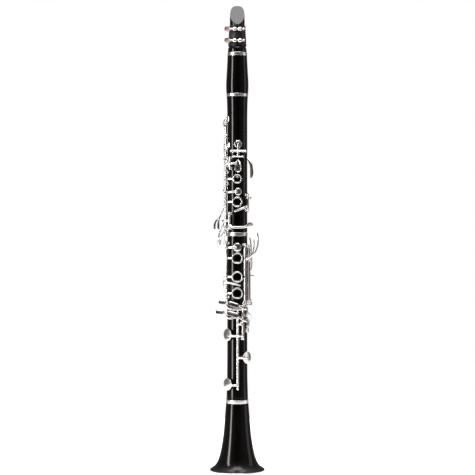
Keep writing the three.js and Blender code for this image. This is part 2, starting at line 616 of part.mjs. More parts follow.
for (const pair of SIDE_PAIRS) {
  node(pair.name, crossPillars(pair.angle, SIDE_RADIUS, pair.z, 6), steel());
  for (const { name, offset, angle, pad, tail } of pair.keys) {
    const [low, high] = crossHinge(pair.angle, SIDE_RADIUS, pair.z, 1);
    const round = high.clone().sub(low).normalize();
    const middle = low.clone().add(high).multiplyScalar(0.5).addScaledVector(round, offset);
    const from = middle.clone().addScaledVector(round, -1.7);
    const to = middle.clone().addScaledVector(round, 1.7);
    const [padAngle, padZ, padR] = pad;
    const bar = arm([[angle, SIDE_RADIUS, pair.z], [angle, 18.4, (pair.z + 376) / 2], ...tail], { width: 2.6 });
    const neck = arm([[angle, SIDE_RADIUS, pair.z], [angle, 18.6, pair.z + 8],
      [padAngle, 18.4, padZ - 4], [padAngle, CUP_TOP_R - 0.3, padZ + 1]], { width: 2.6, steps: 2 });
    node(name, join([rod(from, to, TUBE_R), cup(padAngle, padZ, padR), bar, neck])
      .subtract(hingeBore(from, to)), silver());
  }
}

// Upper stack: the index ring key and the long middle ring key turn on one rod.
const STACK_ANGLE = -69.8;
const VENT_OPEN = 1.3;
node('upper_stack_pillars', pillars(STACK_ANGLE, [344.6, 411.5, 427.4]), steel());
node('index_ring_key', key(STACK_ANGLE, 414, 424.8, [
  fingerRing(0, 417.6, 6.7, 4.3, FRONT_OPEN),
  ringArm(STACK_ANGLE, 417.6, 6.7),
]), silver());
node('middle_ring_key', key(STACK_ANGLE, 347.2, 408.8, [
  fingerRing(0, 384.8, 7.5, 4.75, FRONT_OPEN),
  ringArm(STACK_ANGLE, 384.8, 7.5),
  cup(4, 399.3, 5.1, VENT_OPEN),
  arm([[STACK_ANGLE, 18.6, 398.4], [-45, 20, 398.6], [-18, 19.6, 399],
    [2, CUP_TOP_R + VENT_OPEN - 0.4, 399.3]]),
  arm([[STACK_ANGLE, 18.8, 350], [-60, 20.1, 348, 2.8, 1.3], [-54, 19.7, 342, 2.8, 1.2],
    [-54, 19.7, 336, 2.8, 1.2]]),
]), silver());

// E flat / B flat sliver key, on the right.
const SLIVER_ANGLE = angleAt(15);
node('upper_sliver_pillars', pillars(SLIVER_ANGLE, [373, 395]), steel());
node('upper_sliver_key', key(SLIVER_ANGLE, 375.4, 392.6, [
  cup(95, 391, 4.6),
  arm([[SLIVER_ANGLE, 18.8, 390], [76, 20, 391], [92, 17.8, 391]]),
  arm([[SLIVER_ANGLE, 18.8, 378.4], [38, 18.9, 377.2], [18, 18, 375], [0, 17.5, 372.8], [-15, 17.4, 371.2]]),
]), silver());

// C sharp / G sharp key: its lever crosses the front to a touch on the right.
const C_SHARP_ANGLE = angleAt(-11.2);
node('c_sharp_pillars', pillars(C_SHARP_ANGLE, [347.6, 368.4]), steel());
node('c_sharp_key', key(C_SHARP_ANGLE, 350.2, 366, [
  cup(-92, 358, 4.4),
  arm([[C_SHARP_ANGLE, 18.8, 358], [-54, 21.6, 358], [-72, 22, 358], [-86, 20.8, 358], [-92, 17.2, 358]]),
  arm([[C_SHARP_ANGLE, 18.8, 352.6], [-22, 19.4, 349.2], [10, 19.4, 348.6], [35, 20.8, 349.5],
    [43, 22.6, 351, 6.5], [50, 25, 352.4, 8], [55, 27, 353.4, 5]], { width: 3 }),
]), silver());

// Thumb ring key, on the back.
const THUMB_ANGLE = 140;
node('thumb_ring_pillars', pillars(THUMB_ANGLE, [411.6, 444.4]), steel());
node('thumb_ring_key', key(THUMB_ANGLE, 414, 442, [
  fingerRing(180, 424, 7.2, 4.6, FRONT_OPEN),
  arm([[THUMB_ANGLE, 18.4, 424], [149, 18.6, 424], spot(6.5, 16.7, 424)]),
  cup(172, 440, 3.9, VENT_OPEN),
  arm([[THUMB_ANGLE, 18.8, 438], [155, 20, 439], [171, CUP_TOP_R + VENT_OPEN - 0.4, 440]]),
]), silver());

// ---------------------------------------------------------------- lower joint keys

// Right-hand ring key with its vent pad and the bridge to the upper joint.
const RIGHT_STACK_ANGLE = -59.3;
const RIGHT_RINGS = [304.9, 278.3, 255];
node('lower_stack_pillars', pillars(RIGHT_STACK_ANGLE, [249.4, 326.2]), steel());
node('lower_ring_key', key(RIGHT_STACK_ANGLE, 251.8, 323.8, [
  cup(0, 320.3, 5.9, VENT_OPEN),
  arm([[RIGHT_STACK_ANGLE, 18.8, 320], [-40, 20, 320], [-18, 19.8, 320.2],
    [-1, CUP_TOP_R + VENT_OPEN - 0.4, 320.3]]),
  ...RIGHT_RINGS.flatMap((z) => [
    fingerRing(0, z, 8.1, 5.4, FRONT_OPEN),
    ringArm(RIGHT_STACK_ANGLE, z, 8.1),
  ]),
  arm([[RIGHT_STACK_ANGLE, 18.8, 321.6], [-56, 21.8, 325, 2.8, 1.3], [-54, 21.7, 334, 2.8, 1.2],
    [-54, 21.7, 345, 2.8, 1.2]]),
]), silver());

// B / F sharp sliver key.
const LOWER_SLIVER_ANGLE = -80;
node('lower_sliver_pillars', pillars(LOWER_SLIVER_ANGLE, [260.4, 276.6]), steel());
node('lower_sliver_key', key(LOWER_SLIVER_ANGLE, 262.8, 274.2, [
  cup(-102, 266.5, 4.6),
  arm([[LOWER_SLIVER_ANGLE, 18.8, 267], [-90, 19.6, 266.6], [-101, 17.6, 266.5]]),
  arm([[LOWER_SLIVER_ANGLE, 18.9, 271.6], [-62, 21.9, 271.2], [-44, 20.6, 270.2], [-22, 18.2, 268.6],
    [0, 17.5, 267], [16, 17.4, 265.8]], { width: 2.4 }),
]), silver());

// The two lowest pads share the line down the front. The E/B key is a steel shaft that runs through the
// hinge tube of the F/C pad key.
const FRONT_ANGLE = angleAt(0.5);
const LARGE_PAD_R = 8.5;
const LARGE_OPEN = 2.1;
const LARGE_CUP_TOP = CUP_TOP_R + LARGE_OPEN;
const FRONT_POSTS = [119.6, 158, 218, 228.4];
const FRONT_ROOT_R = 15.1;        // the body is wider at its lower end
const RIB = { width: 3.4, thickness: 0.6 };
const frontRib = arm([FRONT_POSTS[0], FRONT_POSTS[3]].map((z) => [FRONT_ANGLE, FRONT_ROOT_R + 0.3, z]), RIB);
const frontPosts = FRONT_POSTS.map((z) => post(FRONT_ANGLE, HINGE_R, z, FRONT_ROOT_R));
const shaftWay = rod(at(FRONT_ANGLE, HINGE_R, 110), at(FRONT_ANGLE, HINGE_R, 235), TUBE_BORE_R + 0.05, POST_SIDES);
node('front_pillars', join([frontRib, ...frontPosts]).subtract(shaftWay), steel());
node('e_b_key', join([
  rod(at(FRONT_ANGLE, HINGE_R, 118), at(FRONT_ANGLE, HINGE_R, 230), PIVOT_R, POST_SIDES),
  rod(at(FRONT_ANGLE, HINGE_R, 122.4), at(FRONT_ANGLE, HINGE_R, 155.4), TUBE_R + 0.1),
  rod(at(FRONT_ANGLE, HINGE_R, 220.6), at(FRONT_ANGLE, HINGE_R, 225.8), TUBE_R + 0.1),
  cup(-50, 125.3, LARGE_PAD_R, LARGE_OPEN),
  arm([[FRONT_ANGLE, 18.8, 124.6], [-15, 20.6, 124.4], [-36, 20.6, 124.8], [-52, LARGE_CUP_TOP - 0.3, 125.3]]),
  arm([[FRONT_ANGLE, 18.9, 222.6], spot(-4, -20, 220.4), spot(-13, -19.4, 220.2), spot(-18.4, -19.4, 226.6, 5),
    spot(-24, -18.8, 228.4, 6.8), spot(-30.4, -17.6, 228.4, 4.6)], { width: 3 }),
]), silver());
node('f_c_pad_key', key(FRONT_ANGLE, 160.4, 215.6, [
  cup(50, 163.4, LARGE_PAD_R, LARGE_OPEN),
  arm([[FRONT_ANGLE, 18.8, 163.2], [18, 20.8, 163.2], [36, 20.6, 163.3], [52, LARGE_CUP_TOP - 0.3, 163.4]]),
  arm([[FRONT_ANGLE, 18.8, 211], spot(2.4, -20.2, 211), spot(5, -19.9, 211)]),
]), silver());

// F sharp / C sharp key.
const F_SHARP_ANGLE = angleAt(8);
node('f_sharp_pillars', pillars(F_SHARP_ANGLE, [190.4, 236.4]), steel());
node('f_sharp_key', key(F_SHARP_ANGLE, 192.8, 234, [
  cup(-50, 195.8, LARGE_PAD_R, LARGE_OPEN),
  arm([[F_SHARP_ANGLE, 18.8, 194.6], [8, 21.6, 194.4], [-10, 21.8, 194.4], [-34, 20.8, 195],
    [-52, LARGE_CUP_TOP - 0.3, 195.8]]),
  arm([[F_SHARP_ANGLE, 18.9, 232.4], spot(2, -20.9, 232.2), spot(-8, -20.2, 232.4), spot(-14, -19.4, 235),
    spot(-17.2, -19.2, 240.6, 5), spot(-22.4, -18.6, 242.4, 7.6), spot(-27.6, -17.6, 242.8, 5)], { width: 3 }),
]), silver());

// A flat / E flat key and the F/C lever share one rod on the right.
const RIGHT_ROD_ANGLE = angleAt(13.6);
node('right_rod_pillars', join([
  pillars(RIGHT_ROD_ANGLE, [222.8, 237]),
  rod(at(RIGHT_ROD_ANGLE, HINGE_R, 199.5), at(RIGHT_ROD_ANGLE, HINGE_R, 223), PIVOT_R, POST_SIDES),
  plate(slotShape(0, -1.6, 0, 1.6, 2.6), 5.4, frameAt(RIGHT_ROD_ANGLE, POST_ROOT_R, 202.6)),
]), steel());
node('a_flat_key', key(RIGHT_ROD_ANGLE, 225.2, 234.6, [
  cup(84, 212, 6.4),
  arm([[RIGHT_ROD_ANGLE, 18.9, 227.2], [63, 20.8, 223.4], [76, 20, 216.6], [83, CUP_TOP_R - 0.2, 212]]),
  arm([[RIGHT_ROD_ANGLE, 18.9, 232], spot(10.6, -21.4, 233), spot(5, -23, 236, 4), spot(-3, -23, 239.4, 7),
    spot(-11.6, -22, 241.4, 6.4)], { width: 3 }),
]), silver());
node('f_c_lever', key(RIGHT_ROD_ANGLE, 207.6, 220.4, [
  arm([[RIGHT_ROD_ANGLE, 18.9, 215], spot(9.4, -21.6, 216.6), spot(4, -22.8, 220, 3.4), spot(-5, -22.6, 226.2, 6.8),
    spot(-13.4, -21.8, 228, 6.4)], { width: 3 }),
  arm([spot(8, -22.1, 217), spot(5.4, -22.2, 213.6), spot(4.4, -22.2, 209.6)], { width: 2.6, thickness: 1.4 }),
]), silver());

// Left-hand little-finger levers: three long tubes on the right with touches fanned out at the top.
const LEVER_Z0 = 243;
const LEVERS = [
  { name: 'left_f_sharp_lever', angle: angleAt(10.9), top: 321.4,
    touch: [[angleAt(10.9), 18.9, 302], [52, 22.4, 306], spot(24.4, -14, 312), spot(28.8, -13, 322),
      spot(29.6, -12.6, 332, 4), spot(27.4, -13.2, 341, 6.4)],
    foot: [[angleAt(10.9), 18.9, 246], [30, 20.8, 244], [27, 20.8, 238.6, 2.4, 1.2]] },
  { name: 'left_e_lever', angle: angleAt(14.8), top: 318.6,
    touch: [[angleAt(14.8), 18.9, 300], [66, 21.8, 305], spot(22.4, -8, 313), spot(23.8, -7, 323, 4),
      spot(23.2, -6.6, 332, 5)],
    foot: [[angleAt(14.8), 18.9, 246], [66, 20.8, 243], [68, 20.8, 236.6, 2.4, 1.2]] },
  { name: 'left_f_lever', angle: 76, top: 318.6,
    touch: [[76, 18.9, 286], [82, 20.8, 293], spot(20.4, -2, 308), spot(19.6, -1, 324, 4), spot(17.6, -1, 335, 5)],
    foot: [[76, 18.9, 246], [84, 20.6, 243], [86, 20.6, 236.6, 2.4, 1.2]] },
];
const LEVER_POST_Z = LEVER_Z0 - 2.4;
const leverPillars = LEVERS.map(({ angle, top }) => pillars(angle, [LEVER_POST_Z, top + 2.6]));
// A strap joins the feet of the three lower pillars.
const strap = LEVERS.slice(1).map(({ angle }, i) => {
  const before = LEVERS[i].angle;
  const middle = (before + angle) / 2;
  return arm([[before, 15, LEVER_POST_Z], [middle, 15.1, LEVER_POST_Z], [angle, 15, LEVER_POST_Z]],
    { width: 3.4, thickness: 1 });
});
node('left_lever_pillars', join([...leverPillars, ...strap]), steel());
for (const { name, angle, top, touch, foot } of LEVERS) {
  node(name, key(angle, LEVER_Z0, top, [arm(touch), arm(foot)]), silver());
}

// ---------------------------------------------------------------- small fixed pieces

node('thumb_tube', ring(3.1, 4.1, 9.5, BODY_R + 1.1).transform(
  new THREE.Matrix4().makeRotationX(-Math.PI / 2).setPosition(0, 0, 424).elements), silver());
node('register_tube', ring(0.9, 1.5, 4.6, BODY_R, BORE_SIDES).transform(
  frameAt(-60, 0, 503).elements), silver());
const restBase = slotShape(0, -9, 0, 9, 4.4);
node('thumb_rest', join([
  plate(restBase, 1.6, frameAt(166, BODY_R + GAP, 272)),
  plate(slotShape(6, 19.9, 19, 22.5, 5), 2.2, new THREE.Matrix4().makeTranslation(0, 0, 278)),
]), silver());

export default group;
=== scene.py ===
import math

import bmesh
import bpy
from mathutils import Matrix, Vector


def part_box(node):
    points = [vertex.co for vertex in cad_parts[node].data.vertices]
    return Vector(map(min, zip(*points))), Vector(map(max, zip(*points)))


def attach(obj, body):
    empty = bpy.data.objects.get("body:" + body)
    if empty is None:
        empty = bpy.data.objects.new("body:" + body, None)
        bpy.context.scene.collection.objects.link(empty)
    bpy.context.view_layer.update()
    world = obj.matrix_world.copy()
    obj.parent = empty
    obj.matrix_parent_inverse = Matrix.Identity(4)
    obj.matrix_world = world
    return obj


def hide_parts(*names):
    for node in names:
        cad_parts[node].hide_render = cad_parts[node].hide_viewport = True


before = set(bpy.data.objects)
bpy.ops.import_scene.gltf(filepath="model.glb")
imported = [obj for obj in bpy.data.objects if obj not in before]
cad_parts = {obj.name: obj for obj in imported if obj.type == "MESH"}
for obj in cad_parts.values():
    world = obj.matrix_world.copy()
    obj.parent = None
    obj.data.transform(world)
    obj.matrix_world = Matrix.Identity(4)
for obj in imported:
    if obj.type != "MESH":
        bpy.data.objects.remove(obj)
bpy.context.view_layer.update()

MM = 0.001

# ------------ sizes, in millimetres


def span(node, axis):
    """Lowest and highest value of a CAD node along an axis, in millimetres."""
    low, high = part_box(node)
    return low[axis] / MM, high[axis] / MM


RIM_R = span("bell_rim_ring", 0)[1]
BELL_TOP = span("bell", 2)[1]
LOWER_TOP = span("lower_joint", 2)[1]
BARREL_TOP = span("barrel", 2)[1]
TIP = span("mouthpiece", 2)[1]
TENON_L = 18.0
UPPER_TOP = span("upper_joint", 2)[1] - TENON_L
GAP = 0.3               # play between pieces that fit together
BORE_R = 7.3
BODY_R = 14.3
SEAT_R = BODY_R + 0.35  # where the pads close
HINGE_R = 17.8          # hinge lines that run along the body
OPEN = 1.3              # how far the pad of a ring key stands open
TUBE_R = 1.8
CUP_H = 2.9
CUP_TOP_R = SEAT_R + CUP_H
RING_KEY_TOP = CUP_TOP_R + OPEN - 0.4   # where an arm meets the open cup of a ring key
ARM_W = 2.8
ARM_T = 1.6
RING_EASE = 0.55        # how much larger a finger ring is in inner radius than its CAD node
PIN_R = 0.95            # steel pin that joins the pillars of a hinge
NARROW = 1.6            # half widths between which an arm changes from oval to flat
WIDE = 2.8

# ------------ places round the body


def at(angle, radius, z):
    """Point at an angle round the bore (0 at the front, positive to the right), a radius and a height."""
    a = math.radians(angle)
    return Vector((radius * math.sin(a), -radius * math.cos(a), z))


def angle_at(x, radius=HINGE_R):
    return math.degrees(math.asin(x / radius))


def spot(x, y, z, *size):
    """Station of an arm given by its sideways, front-to-back and height distances."""
    return (math.degrees(math.atan2(x, -y)), math.hypot(x, y), z, *size)


def frame_at(angle, radius, z):
    """Matrix whose X runs round the body, Y up it and Z straight out."""
    a = math.radians(angle)
    m = Matrix.Identity(4)
    m.col[0] = (math.cos(a), math.sin(a), 0, 0)
    m.col[1] = (0, 0, 1, 0)
    m.col[2] = (math.sin(a), -math.cos(a), 0, 0)
    m.translation = at(angle, radius, z)
    return m


def line_frame(start, end):
    """Matrix at start whose Z runs to end."""
    along = (end - start).normalized()
    m = along.to_track_quat("Z", "Y").to_matrix().to_4x4()
    m.translation = start
    return m

# ------------ shells: lists of points and faces


def moved(shell, matrix):
    points, faces = shell
    return [matrix @ p for p in points], faces


def skinned(rings):
    """Shell through rings that have the same number of points, closed at both ends."""
    n = len(rings[0])
    points = [p for level in rings for p in level]
    faces = [[i * n + k, i * n + (k + 1) % n, (i + 1) * n + (k + 1) % n, (i + 1) * n + k]
             for i in range(len(rings) - 1) for k in range(n)]
    faces += [list(range(n))[::-1], [len(points) - n + k for k in range(n)]]
    return points, faces


def rounded(outline, radius=0.25, steps=3):
    """The outline with each inner corner turned into a small arc, held by a point on each side of it."""
    result = [outline[0]]
    for before, corner, after in zip(outline, outline[1:], outline[2:]):
        c = Vector(corner)
        to_before = Vector(before) - c
        to_after = Vector(after) - c
        cut = min(radius, to_before.length * 0.4, to_after.length * 0.4)
        hold = cut * 1.2
        p = c + to_before.normalized() * cut
        q = c + to_after.normalized() * cut
        result.append(tuple(c + to_before.normalized() * hold))
        for k in range(steps + 1):
            t = k / steps
            result.append(tuple(p.lerp(c, t).lerp(c.lerp(q, t), t)))
        result.append(tuple(c + to_after.normalized() * hold))
    result.append(outline[-1])
    return result


def turned(outline, sides=32, closed=False):
    """Shell of revolution about Z from (radius, height) points."""
    points, faces, rings = [], [], []
    for r, z in outline:
        if r < 1e-6:
            rings.append([len(points)] * sides)
            points.append(Vector((0, 0, z)))
            continue
        rings.append(list(range(len(points), len(points) + sides)))
        for k in range(sides):
            a = 2 * math.pi * k / sides
            points.append(Vector((r * math.cos(a), r * math.sin(a), z)))
    pairs = list(zip(rings, rings[1:]))
    if closed:
        pairs.append((rings[-1], rings[0]))
    for low, high in pairs:
        for k in range(sides):
            j = (k + 1) % sides
            face = [low[k], low[j], high[j], high[k]]
            face = [v for i, v in enumerate(face) if v not in face[:i]]
            if len(face) > 2:
                faces.append(face)
    return points, faces


def ring(inner, outer, z0, z1, sides=96, radius=0.3):
    outline = rounded([(inner, (z0 + z1) / 2), (inner, z0), (outer, z0), (outer, z1), (inner, z1),
                       (inner, (z0 + z1) / 2 + 0.01)], radius)
    return turned(outline, sides, closed=True)


def rod(start, end, radius, sides=24, edge=0.2):
    length = (end - start).length
    outline = rounded([(0, 0), (radius, 0), (radius, length), (0, length)], edge, 2)
    return moved(turned(outline, sides), line_frame(start, end))


def between(a, b, start, end, t):
    """Place at time t on the line that is at a at the start and at b at the end."""
    return a * ((end - t) / (end - start)) + b * ((t - start) / (end - start))


def smooth_path(stations, count):
    """Centripetal curve through the stations, as (angle, radius, height) and the station number."""
    keys = [Vector(s[:3]) for s in stations]
    keys = [keys[0] * 2 - keys[1]] + keys + [keys[-1] * 2 - keys[-2]]
    result = []
    for i in range(1, len(keys) - 2):
        p0, p1, p2, p3 = keys[i - 1:i + 3]
        times = [0.0]
        for a, b in ((p0, p1), (p1, p2), (p2, p3)):
            times.append(times[-1] + max((b - a).length, 1e-6) ** 0.5)
        t0, t1, t2, t3 = times
        last = i == len(keys) - 3
        for k in range(count + (1 if last else 0)):
            t = t1 + (t2 - t1) * k / count
            a1 = between(p0, p1, t0, t1, t)
            a2 = between(p1, p2, t1, t2, t)
            a3 = between(p2, p3, t2, t3, t)
            b1 = between(a1, a2, t0, t2, t)
            b2 = between(a2, a3, t1, t3, t)
            place = between(b1, b2, t1, t2, t)
            result.append((place, i - 1 + k / count))
    return result


def arm(stations, width=ARM_W, thickness=ARM_T, count=7, sides=16):
    """Bar along stations (angle, radius, height, width, thickness), its flat side kept square to the bore.

    Its ends are rounded off. Its section is oval where it is narrow and nearer a rectangle where wide."""
    path = smooth_path(stations, count)
    spots = [at(*place) for place, _ in path]
    rings = []
    last = len(path) - 1
    travelled = [0.0]
    for a, b in zip(spots, spots[1:]):
        travelled.append(travelled[-1] + (b - a).length)
    total = travelled[-1]

    def size(s, index, usual):
        i = min(int(s), len(stations) - 2)
        low, high = [st[index] if len(st) > index else usual for st in stations[i:i + 2]]
        u = s - i
        return low + (high - low) * u * u * (3 - 2 * u)

    for n, (place, s) in enumerate(path):
        along = (spots[min(n + 1, last)] - spots[max(n - 1, 0)]).normalized()
        out = at(place.x, 1, 0)
        across = along.cross(out).normalized()
        lift = across.cross(along).normalized()
        w = size(s, 3, width) / 2
        h = size(s, 4, thickness) / 2
        square = 1 - 0.6 * max(0.0, min((w - NARROW) / (WIDE - NARROW), 1.0))
        # Round nose at both ends.
        reach = min(travelled[n], total - travelled[n]) / max(w, 1e-6)
        nose = math.sqrt(max(0.0, 1 - (1 - min(reach, 1)) ** 2)) * 0.93 + 0.07
        level = []
        for k in range(sides):
            a = 2 * math.pi * k / sides
            c, d = math.cos(a), math.sin(a)
            x = math.copysign(abs(c) ** square, c) * w * nose
            y = math.copysign(abs(d) ** square, d) * h * (0.5 + 0.5 * nose)
            level.append(spots[n] + across * x + lift * y)
        rings.append(level)
    return skinned(rings)


def cup(angle, z, r, lift=0.0):
    """Pad cup from outside: rolled rim, flat shoulder and a low dome."""
    outline = [(r - 0.9, 0.9), (r - 0.5, 0.75), (r - 0.12, 0.85), (r, 1.05), (r, 1.5), (r - 0.12, 1.72)]
    dome = [(r * c, 1.72 + 1.05 * (1 - c ** 2.2)) for c in (0.9, 0.8, 0.68, 0.55, 0.4, 0.25, 0.1)]
    return moved(turned([(0, 0.9), *outline, *dome, (0, 2.78)], 48), frame_at(angle, SEAT_R + lift, z))


def pad(angle, z, r, lift=0.0):
    """Cushion of a pad, held in its cup."""
    outline = [(0, 0.05), (r * 0.55, 0.05), (r - 1.4, 0.0), (r - 0.8, 0.15), (r - 0.55, 0.5), (r - 0.6, 1.0),
               (0, 1.0)]
    return moved(turned(outline, 40), frame_at(angle, SEAT_R + lift, z))


def finger_ring(angle, z, outer, inner):
    """Ring under a finger: flat below and domed on top, and wide enough to sink round its chimney."""
    inner += RING_EASE
    mid = (outer + inner) / 2
    half = (outer - inner) / 2
    turns = [math.pi * k / 12 for k in range(13)]
    dome = [(mid + half * math.cos(a), 0.6 + 0.8 * math.sin(a)) for a in turns]
    outline = [(inner, 0.3), (inner + 0.15, 0.05), (mid, 0), (outer - 0.2, 0.05), (outer, 0.3), *dome]
    return moved(turned(outline, 64, closed=True), frame_at(angle, SEAT_R + OPEN, z))


def front_ring(hinge, z, outer, inner):
    """Finger ring at the front, and the arm that carries it from its hinge."""
    edge = spot(0.7 - outer, -(SEAT_R + OPEN + 0.7), z)
    bar = arm([(hinge, HINGE_R + 0.6, z), ((2 * hinge + edge[0]) / 3, HINGE_R + 1, z),
               ((hinge + 2 * edge[0]) / 3, (HINGE_R + edge[1]) / 2 + 0.4, z), edge])
    return [finger_ring(0, z, outer, inner), bar]


def post(angle, radius, z, root=BODY_R + 0.05):
    """Turned pillar: flange, waisted stem and ball head."""
    h = radius - root
    head = 1.95
    outline = [(0, -1.0), (1.9, -1.0), (1.9, 0.35), (1.75, 0.55), (1.15, 0.75), (0.95, 1.1), (1.0, h - 1.9),
               (1.25, h - 1.55)]
    for k in range(9):
        a = math.radians(-58 + 148 * k / 8)
        outline.append((max(head * math.cos(a), 0), h + head * math.sin(a) * 0.97))
    outline[-1] = (0, h + head * 0.97)
    return moved(turned(outline, 24), frame_at(angle, root, z))


def z_posts(angle, heights, radius=HINGE_R):
    pivot = rod(at(angle, radius, heights[0] - 2.1), at(angle, radius, heights[-1] + 2.1), PIN_R, 16)
    return [pivot] + [post(angle, radius, z) for z in heights]


def cross_ends(angle, radius, z, half):
    """Ends of a hinge that runs round the body, a half length to each side of its middle."""
    a = math.radians(angle)
    around = Vector((math.cos(a), math.sin(a), 0))
    middle = at(angle, radius, z)
    return middle - around * half, middle + around * half


def cross_posts(angle, radius, z, half):
    ends = cross_ends(angle, radius, z, half)
    return [rod(*ends, PIN_R, 16)] + [post(*spot(*p)) for p in ends]


def sleeve(start, end, radius=TUBE_R):
    """Hinge tube with a slightly thicker collar at each end."""
    length = (end - start).length
    r = radius
    collar = min(1.1, length * 0.2)
    outline = [(1.25, 0), (r + 0.05, 0), (r + 0.12, 0.15), (r + 0.12, collar), (r, collar + 0.15),
               (r, length - collar - 0.15), (r + 0.12, length - collar), (r + 0.12, length - 0.15),
               (r + 0.05, length), (1.25, length)]
    return moved(turned(outline, 28, closed=True), line_frame(start, end))


def z_sleeve(angle, z0, z1, radius=HINGE_R):
    return sleeve(at(angle, radius, z0), at(angle, radius, z1))


def plate(outline, thickness, matrix, edge=0.3, dish=0.0):
    """Flat outline extruded out of a place, its edges eased and its top hollowed by the dish depth."""
    count = len(outline)
    middle = Vector((sum(p[0] for p in outline) / count, sum(p[1] for p in outline) / count))
    layers = [(edge, 0), (edge * 0.3, edge * 0.3), (0, edge), (0, thickness - edge),
              (edge * 0.3, thickness - edge * 0.3), (edge, thickness)]
    if dish:
        layers += [(edge + 0.5, thickness - dish * 0.25), (edge + 1.1, thickness - dish * 0.7),
                   (edge + 1.9, thickness - dish)]
    rings = []
    for inset, height in layers:
        inner = [Vector(p) + (middle - Vector(p)).normalized() * inset for p in outline]
        rings.append([matrix @ Vector((*p, height)) for p in inner])
    return skinned(rings)


def slot_outline(x0, y0, x1, y1, half, steps=10):
    """Outline with half-round ends."""
    along = math.atan2(y1 - y0, x1 - x0)
    result = []
    for cx, cy, start in ((x0, y0, along + math.pi / 2), (x1, y1, along - math.pi / 2)):
        for k in range(steps + 1):
            a = start + math.pi * k / steps
            result.append((cx + half * math.cos(a), cy + half * math.sin(a)))
    return result


def bezier(p0, p1, p2, p3, count=10):
    a, b, c, d = (Vector(p) for p in (p0, p1, p2, p3))
    result = []
    for k in range(count):
        t = k / count
        u = 1 - t
        result.append(tuple(a * u ** 3 + b * 3 * t * u ** 2 + c * 3 * t * t * u + d * t ** 3))
    return result

# ------------ materials

NOISE_SPAN = (0.3, 0.7)         # where most values of a noise lie
FINE = 0.000006                 # depth of pores and hairline scratches, in metres


def preset(node, values):
    """Sets inputs of a node by their names."""
    for name, value in values.items():
        node.inputs[name].default_value = value
    return node


def added(tree, kind, values=()):
    return preset(tree.nodes.new("ShaderNode" + kind), dict(values))


def shader(name, color, roughness, metallic=0.0, gloss=0.5):
    material = bpy.data.materials.new(name)
    material.use_nodes = True
    tree = material.node_tree
    surface = preset(tree.nodes["Principled BSDF"], {
        "Base Color": (*color, 1), "Roughness": roughness, "Metallic": metallic, "Specular IOR Level": gloss})
    return material, tree, surface


def noise(tree, scale, detail=4.0, stretch=(1, 1, 1)):
    """Noise over the object's own coordinates, in metres."""
    place = added(tree, "TexCoord")
    mapping = added(tree, "Mapping", {"Scale": stretch})
    made = added(tree, "TexNoise", {"Scale": scale, "Detail": detail})
    tree.links.new(place.outputs["Object"], mapping.inputs["Vector"])
    tree.links.new(mapping.outputs["Vector"], made.inputs["Vector"])
    return made.outputs["Fac"]


def ramp(tree, source, stops):
    """Colour that follows a pattern through (position, colour) stops."""
    made = added(tree, "ValToRGB")
    made.color_ramp.elements[0].position = stops[0][0]
    made.color_ramp.elements[0].color = (*stops[0][1], 1)
    made.color_ramp.elements[1].position = stops[-1][0]
    made.color_ramp.elements[1].color = (*stops[-1][1], 1)
    for position, color in stops[1:-1]:
        made.color_ramp.elements.new(position).color = (*color, 1)
    tree.links.new(source, made.inputs["Fac"])
    return made.outputs["Color"]


def tinted(tree, surface, source, stops):
    """Base colour that follows a pattern."""
    tree.links.new(ramp(tree, source, stops), surface.inputs["Base Color"])


def ranged(tree, source, target, span_in, span_out):
    """Value that follows a pattern, from one span to another."""
    made = added(tree, "MapRange", {
        "From Min": span_in[0], "From Max": span_in[1], "To Min": span_out[0], "To Max": span_out[1]})
    tree.links.new(source, made.inputs["Value"])
    tree.links.new(made.outputs["Result"], target)


def varied(tree, surface, source, low, high):
    """Roughness that follows a pattern between two values."""
    ranged(tree, source, surface.inputs["Roughness"], NOISE_SPAN, (low, high))


def bumped(tree, surface, source, strength, distance):
    made = added(tree, "Bump", {"Strength": strength, "Distance": distance})
    tree.links.new(source, made.inputs["Height"])
    tree.links.new(made.outputs["Normal"], surface.inputs["Normal"])


def grenadilla():
    """Oiled blackwood: near black, with long brown streaks and fine open pores along the bore."""
    material, tree, surface = shader("grenadilla", (0.003, 0.002, 0.002), 0.15, gloss=0.32)
    tinted(tree, surface, noise(tree, 420, 5, (1, 1, 0.05)), [
        (0.35, (0.001, 0.0009, 0.0008)), (0.6, (0.002, 0.0016, 0.0014)), (0.75, (0.006, 0.0036, 0.0026))])
    varied(tree, surface, noise(tree, 260, 3, (1, 1, 0.12)), 0.11, 0.17)
    bumped(tree, surface, noise(tree, 2600, 3, (1, 1, 0.04)), 0.12, FINE)
    return material


def plated(name, color, low, high, scratch):
    """Polished plated metal with faint smears and hairline scratches."""
    material, tree, surface = shader(name, color, low, metallic=1)
    tinted(tree, surface, noise(tree, 160, 4), [(0.3, tuple(c * 0.95 for c in color)), (0.7, color)])
    varied(tree, surface, noise(tree, 240, 5), low, high)
    bumped(tree, surface, noise(tree, 1400, 4, (1, 0.2, 1)), scratch, FINE)
    return material


def hard_rubber():
    """Ebonite of the mouthpiece: black, with faint brown swirls."""
    material, tree, surface = shader("ebonite", (0.002, 0.002, 0.0022), 0.13, gloss=0.4)
    tinted(tree, surface, noise(tree, 90, 5), [
        (0.35, (0.0012, 0.0012, 0.0014)), (0.7, (0.003, 0.0025, 0.0025))])
    varied(tree, surface, noise(tree, 300, 4), 0.1, 0.16)
    bumped(tree, surface, noise(tree, 900, 3), 0.03, 0.00005)
    return material


def grained(name, grain, stops, rough, relief, depth=0.0001):
    """Material whose grain sets its colour, its roughness and its relief together."""
    material, tree, surface = shader(name, stops[-1][1], rough[1])
    pattern = noise(tree, *grain)
    tinted(tree, surface, pattern, stops)
    varied(tree, surface, pattern, *rough)
    bumped(tree, surface, pattern, relief, depth)
    return material


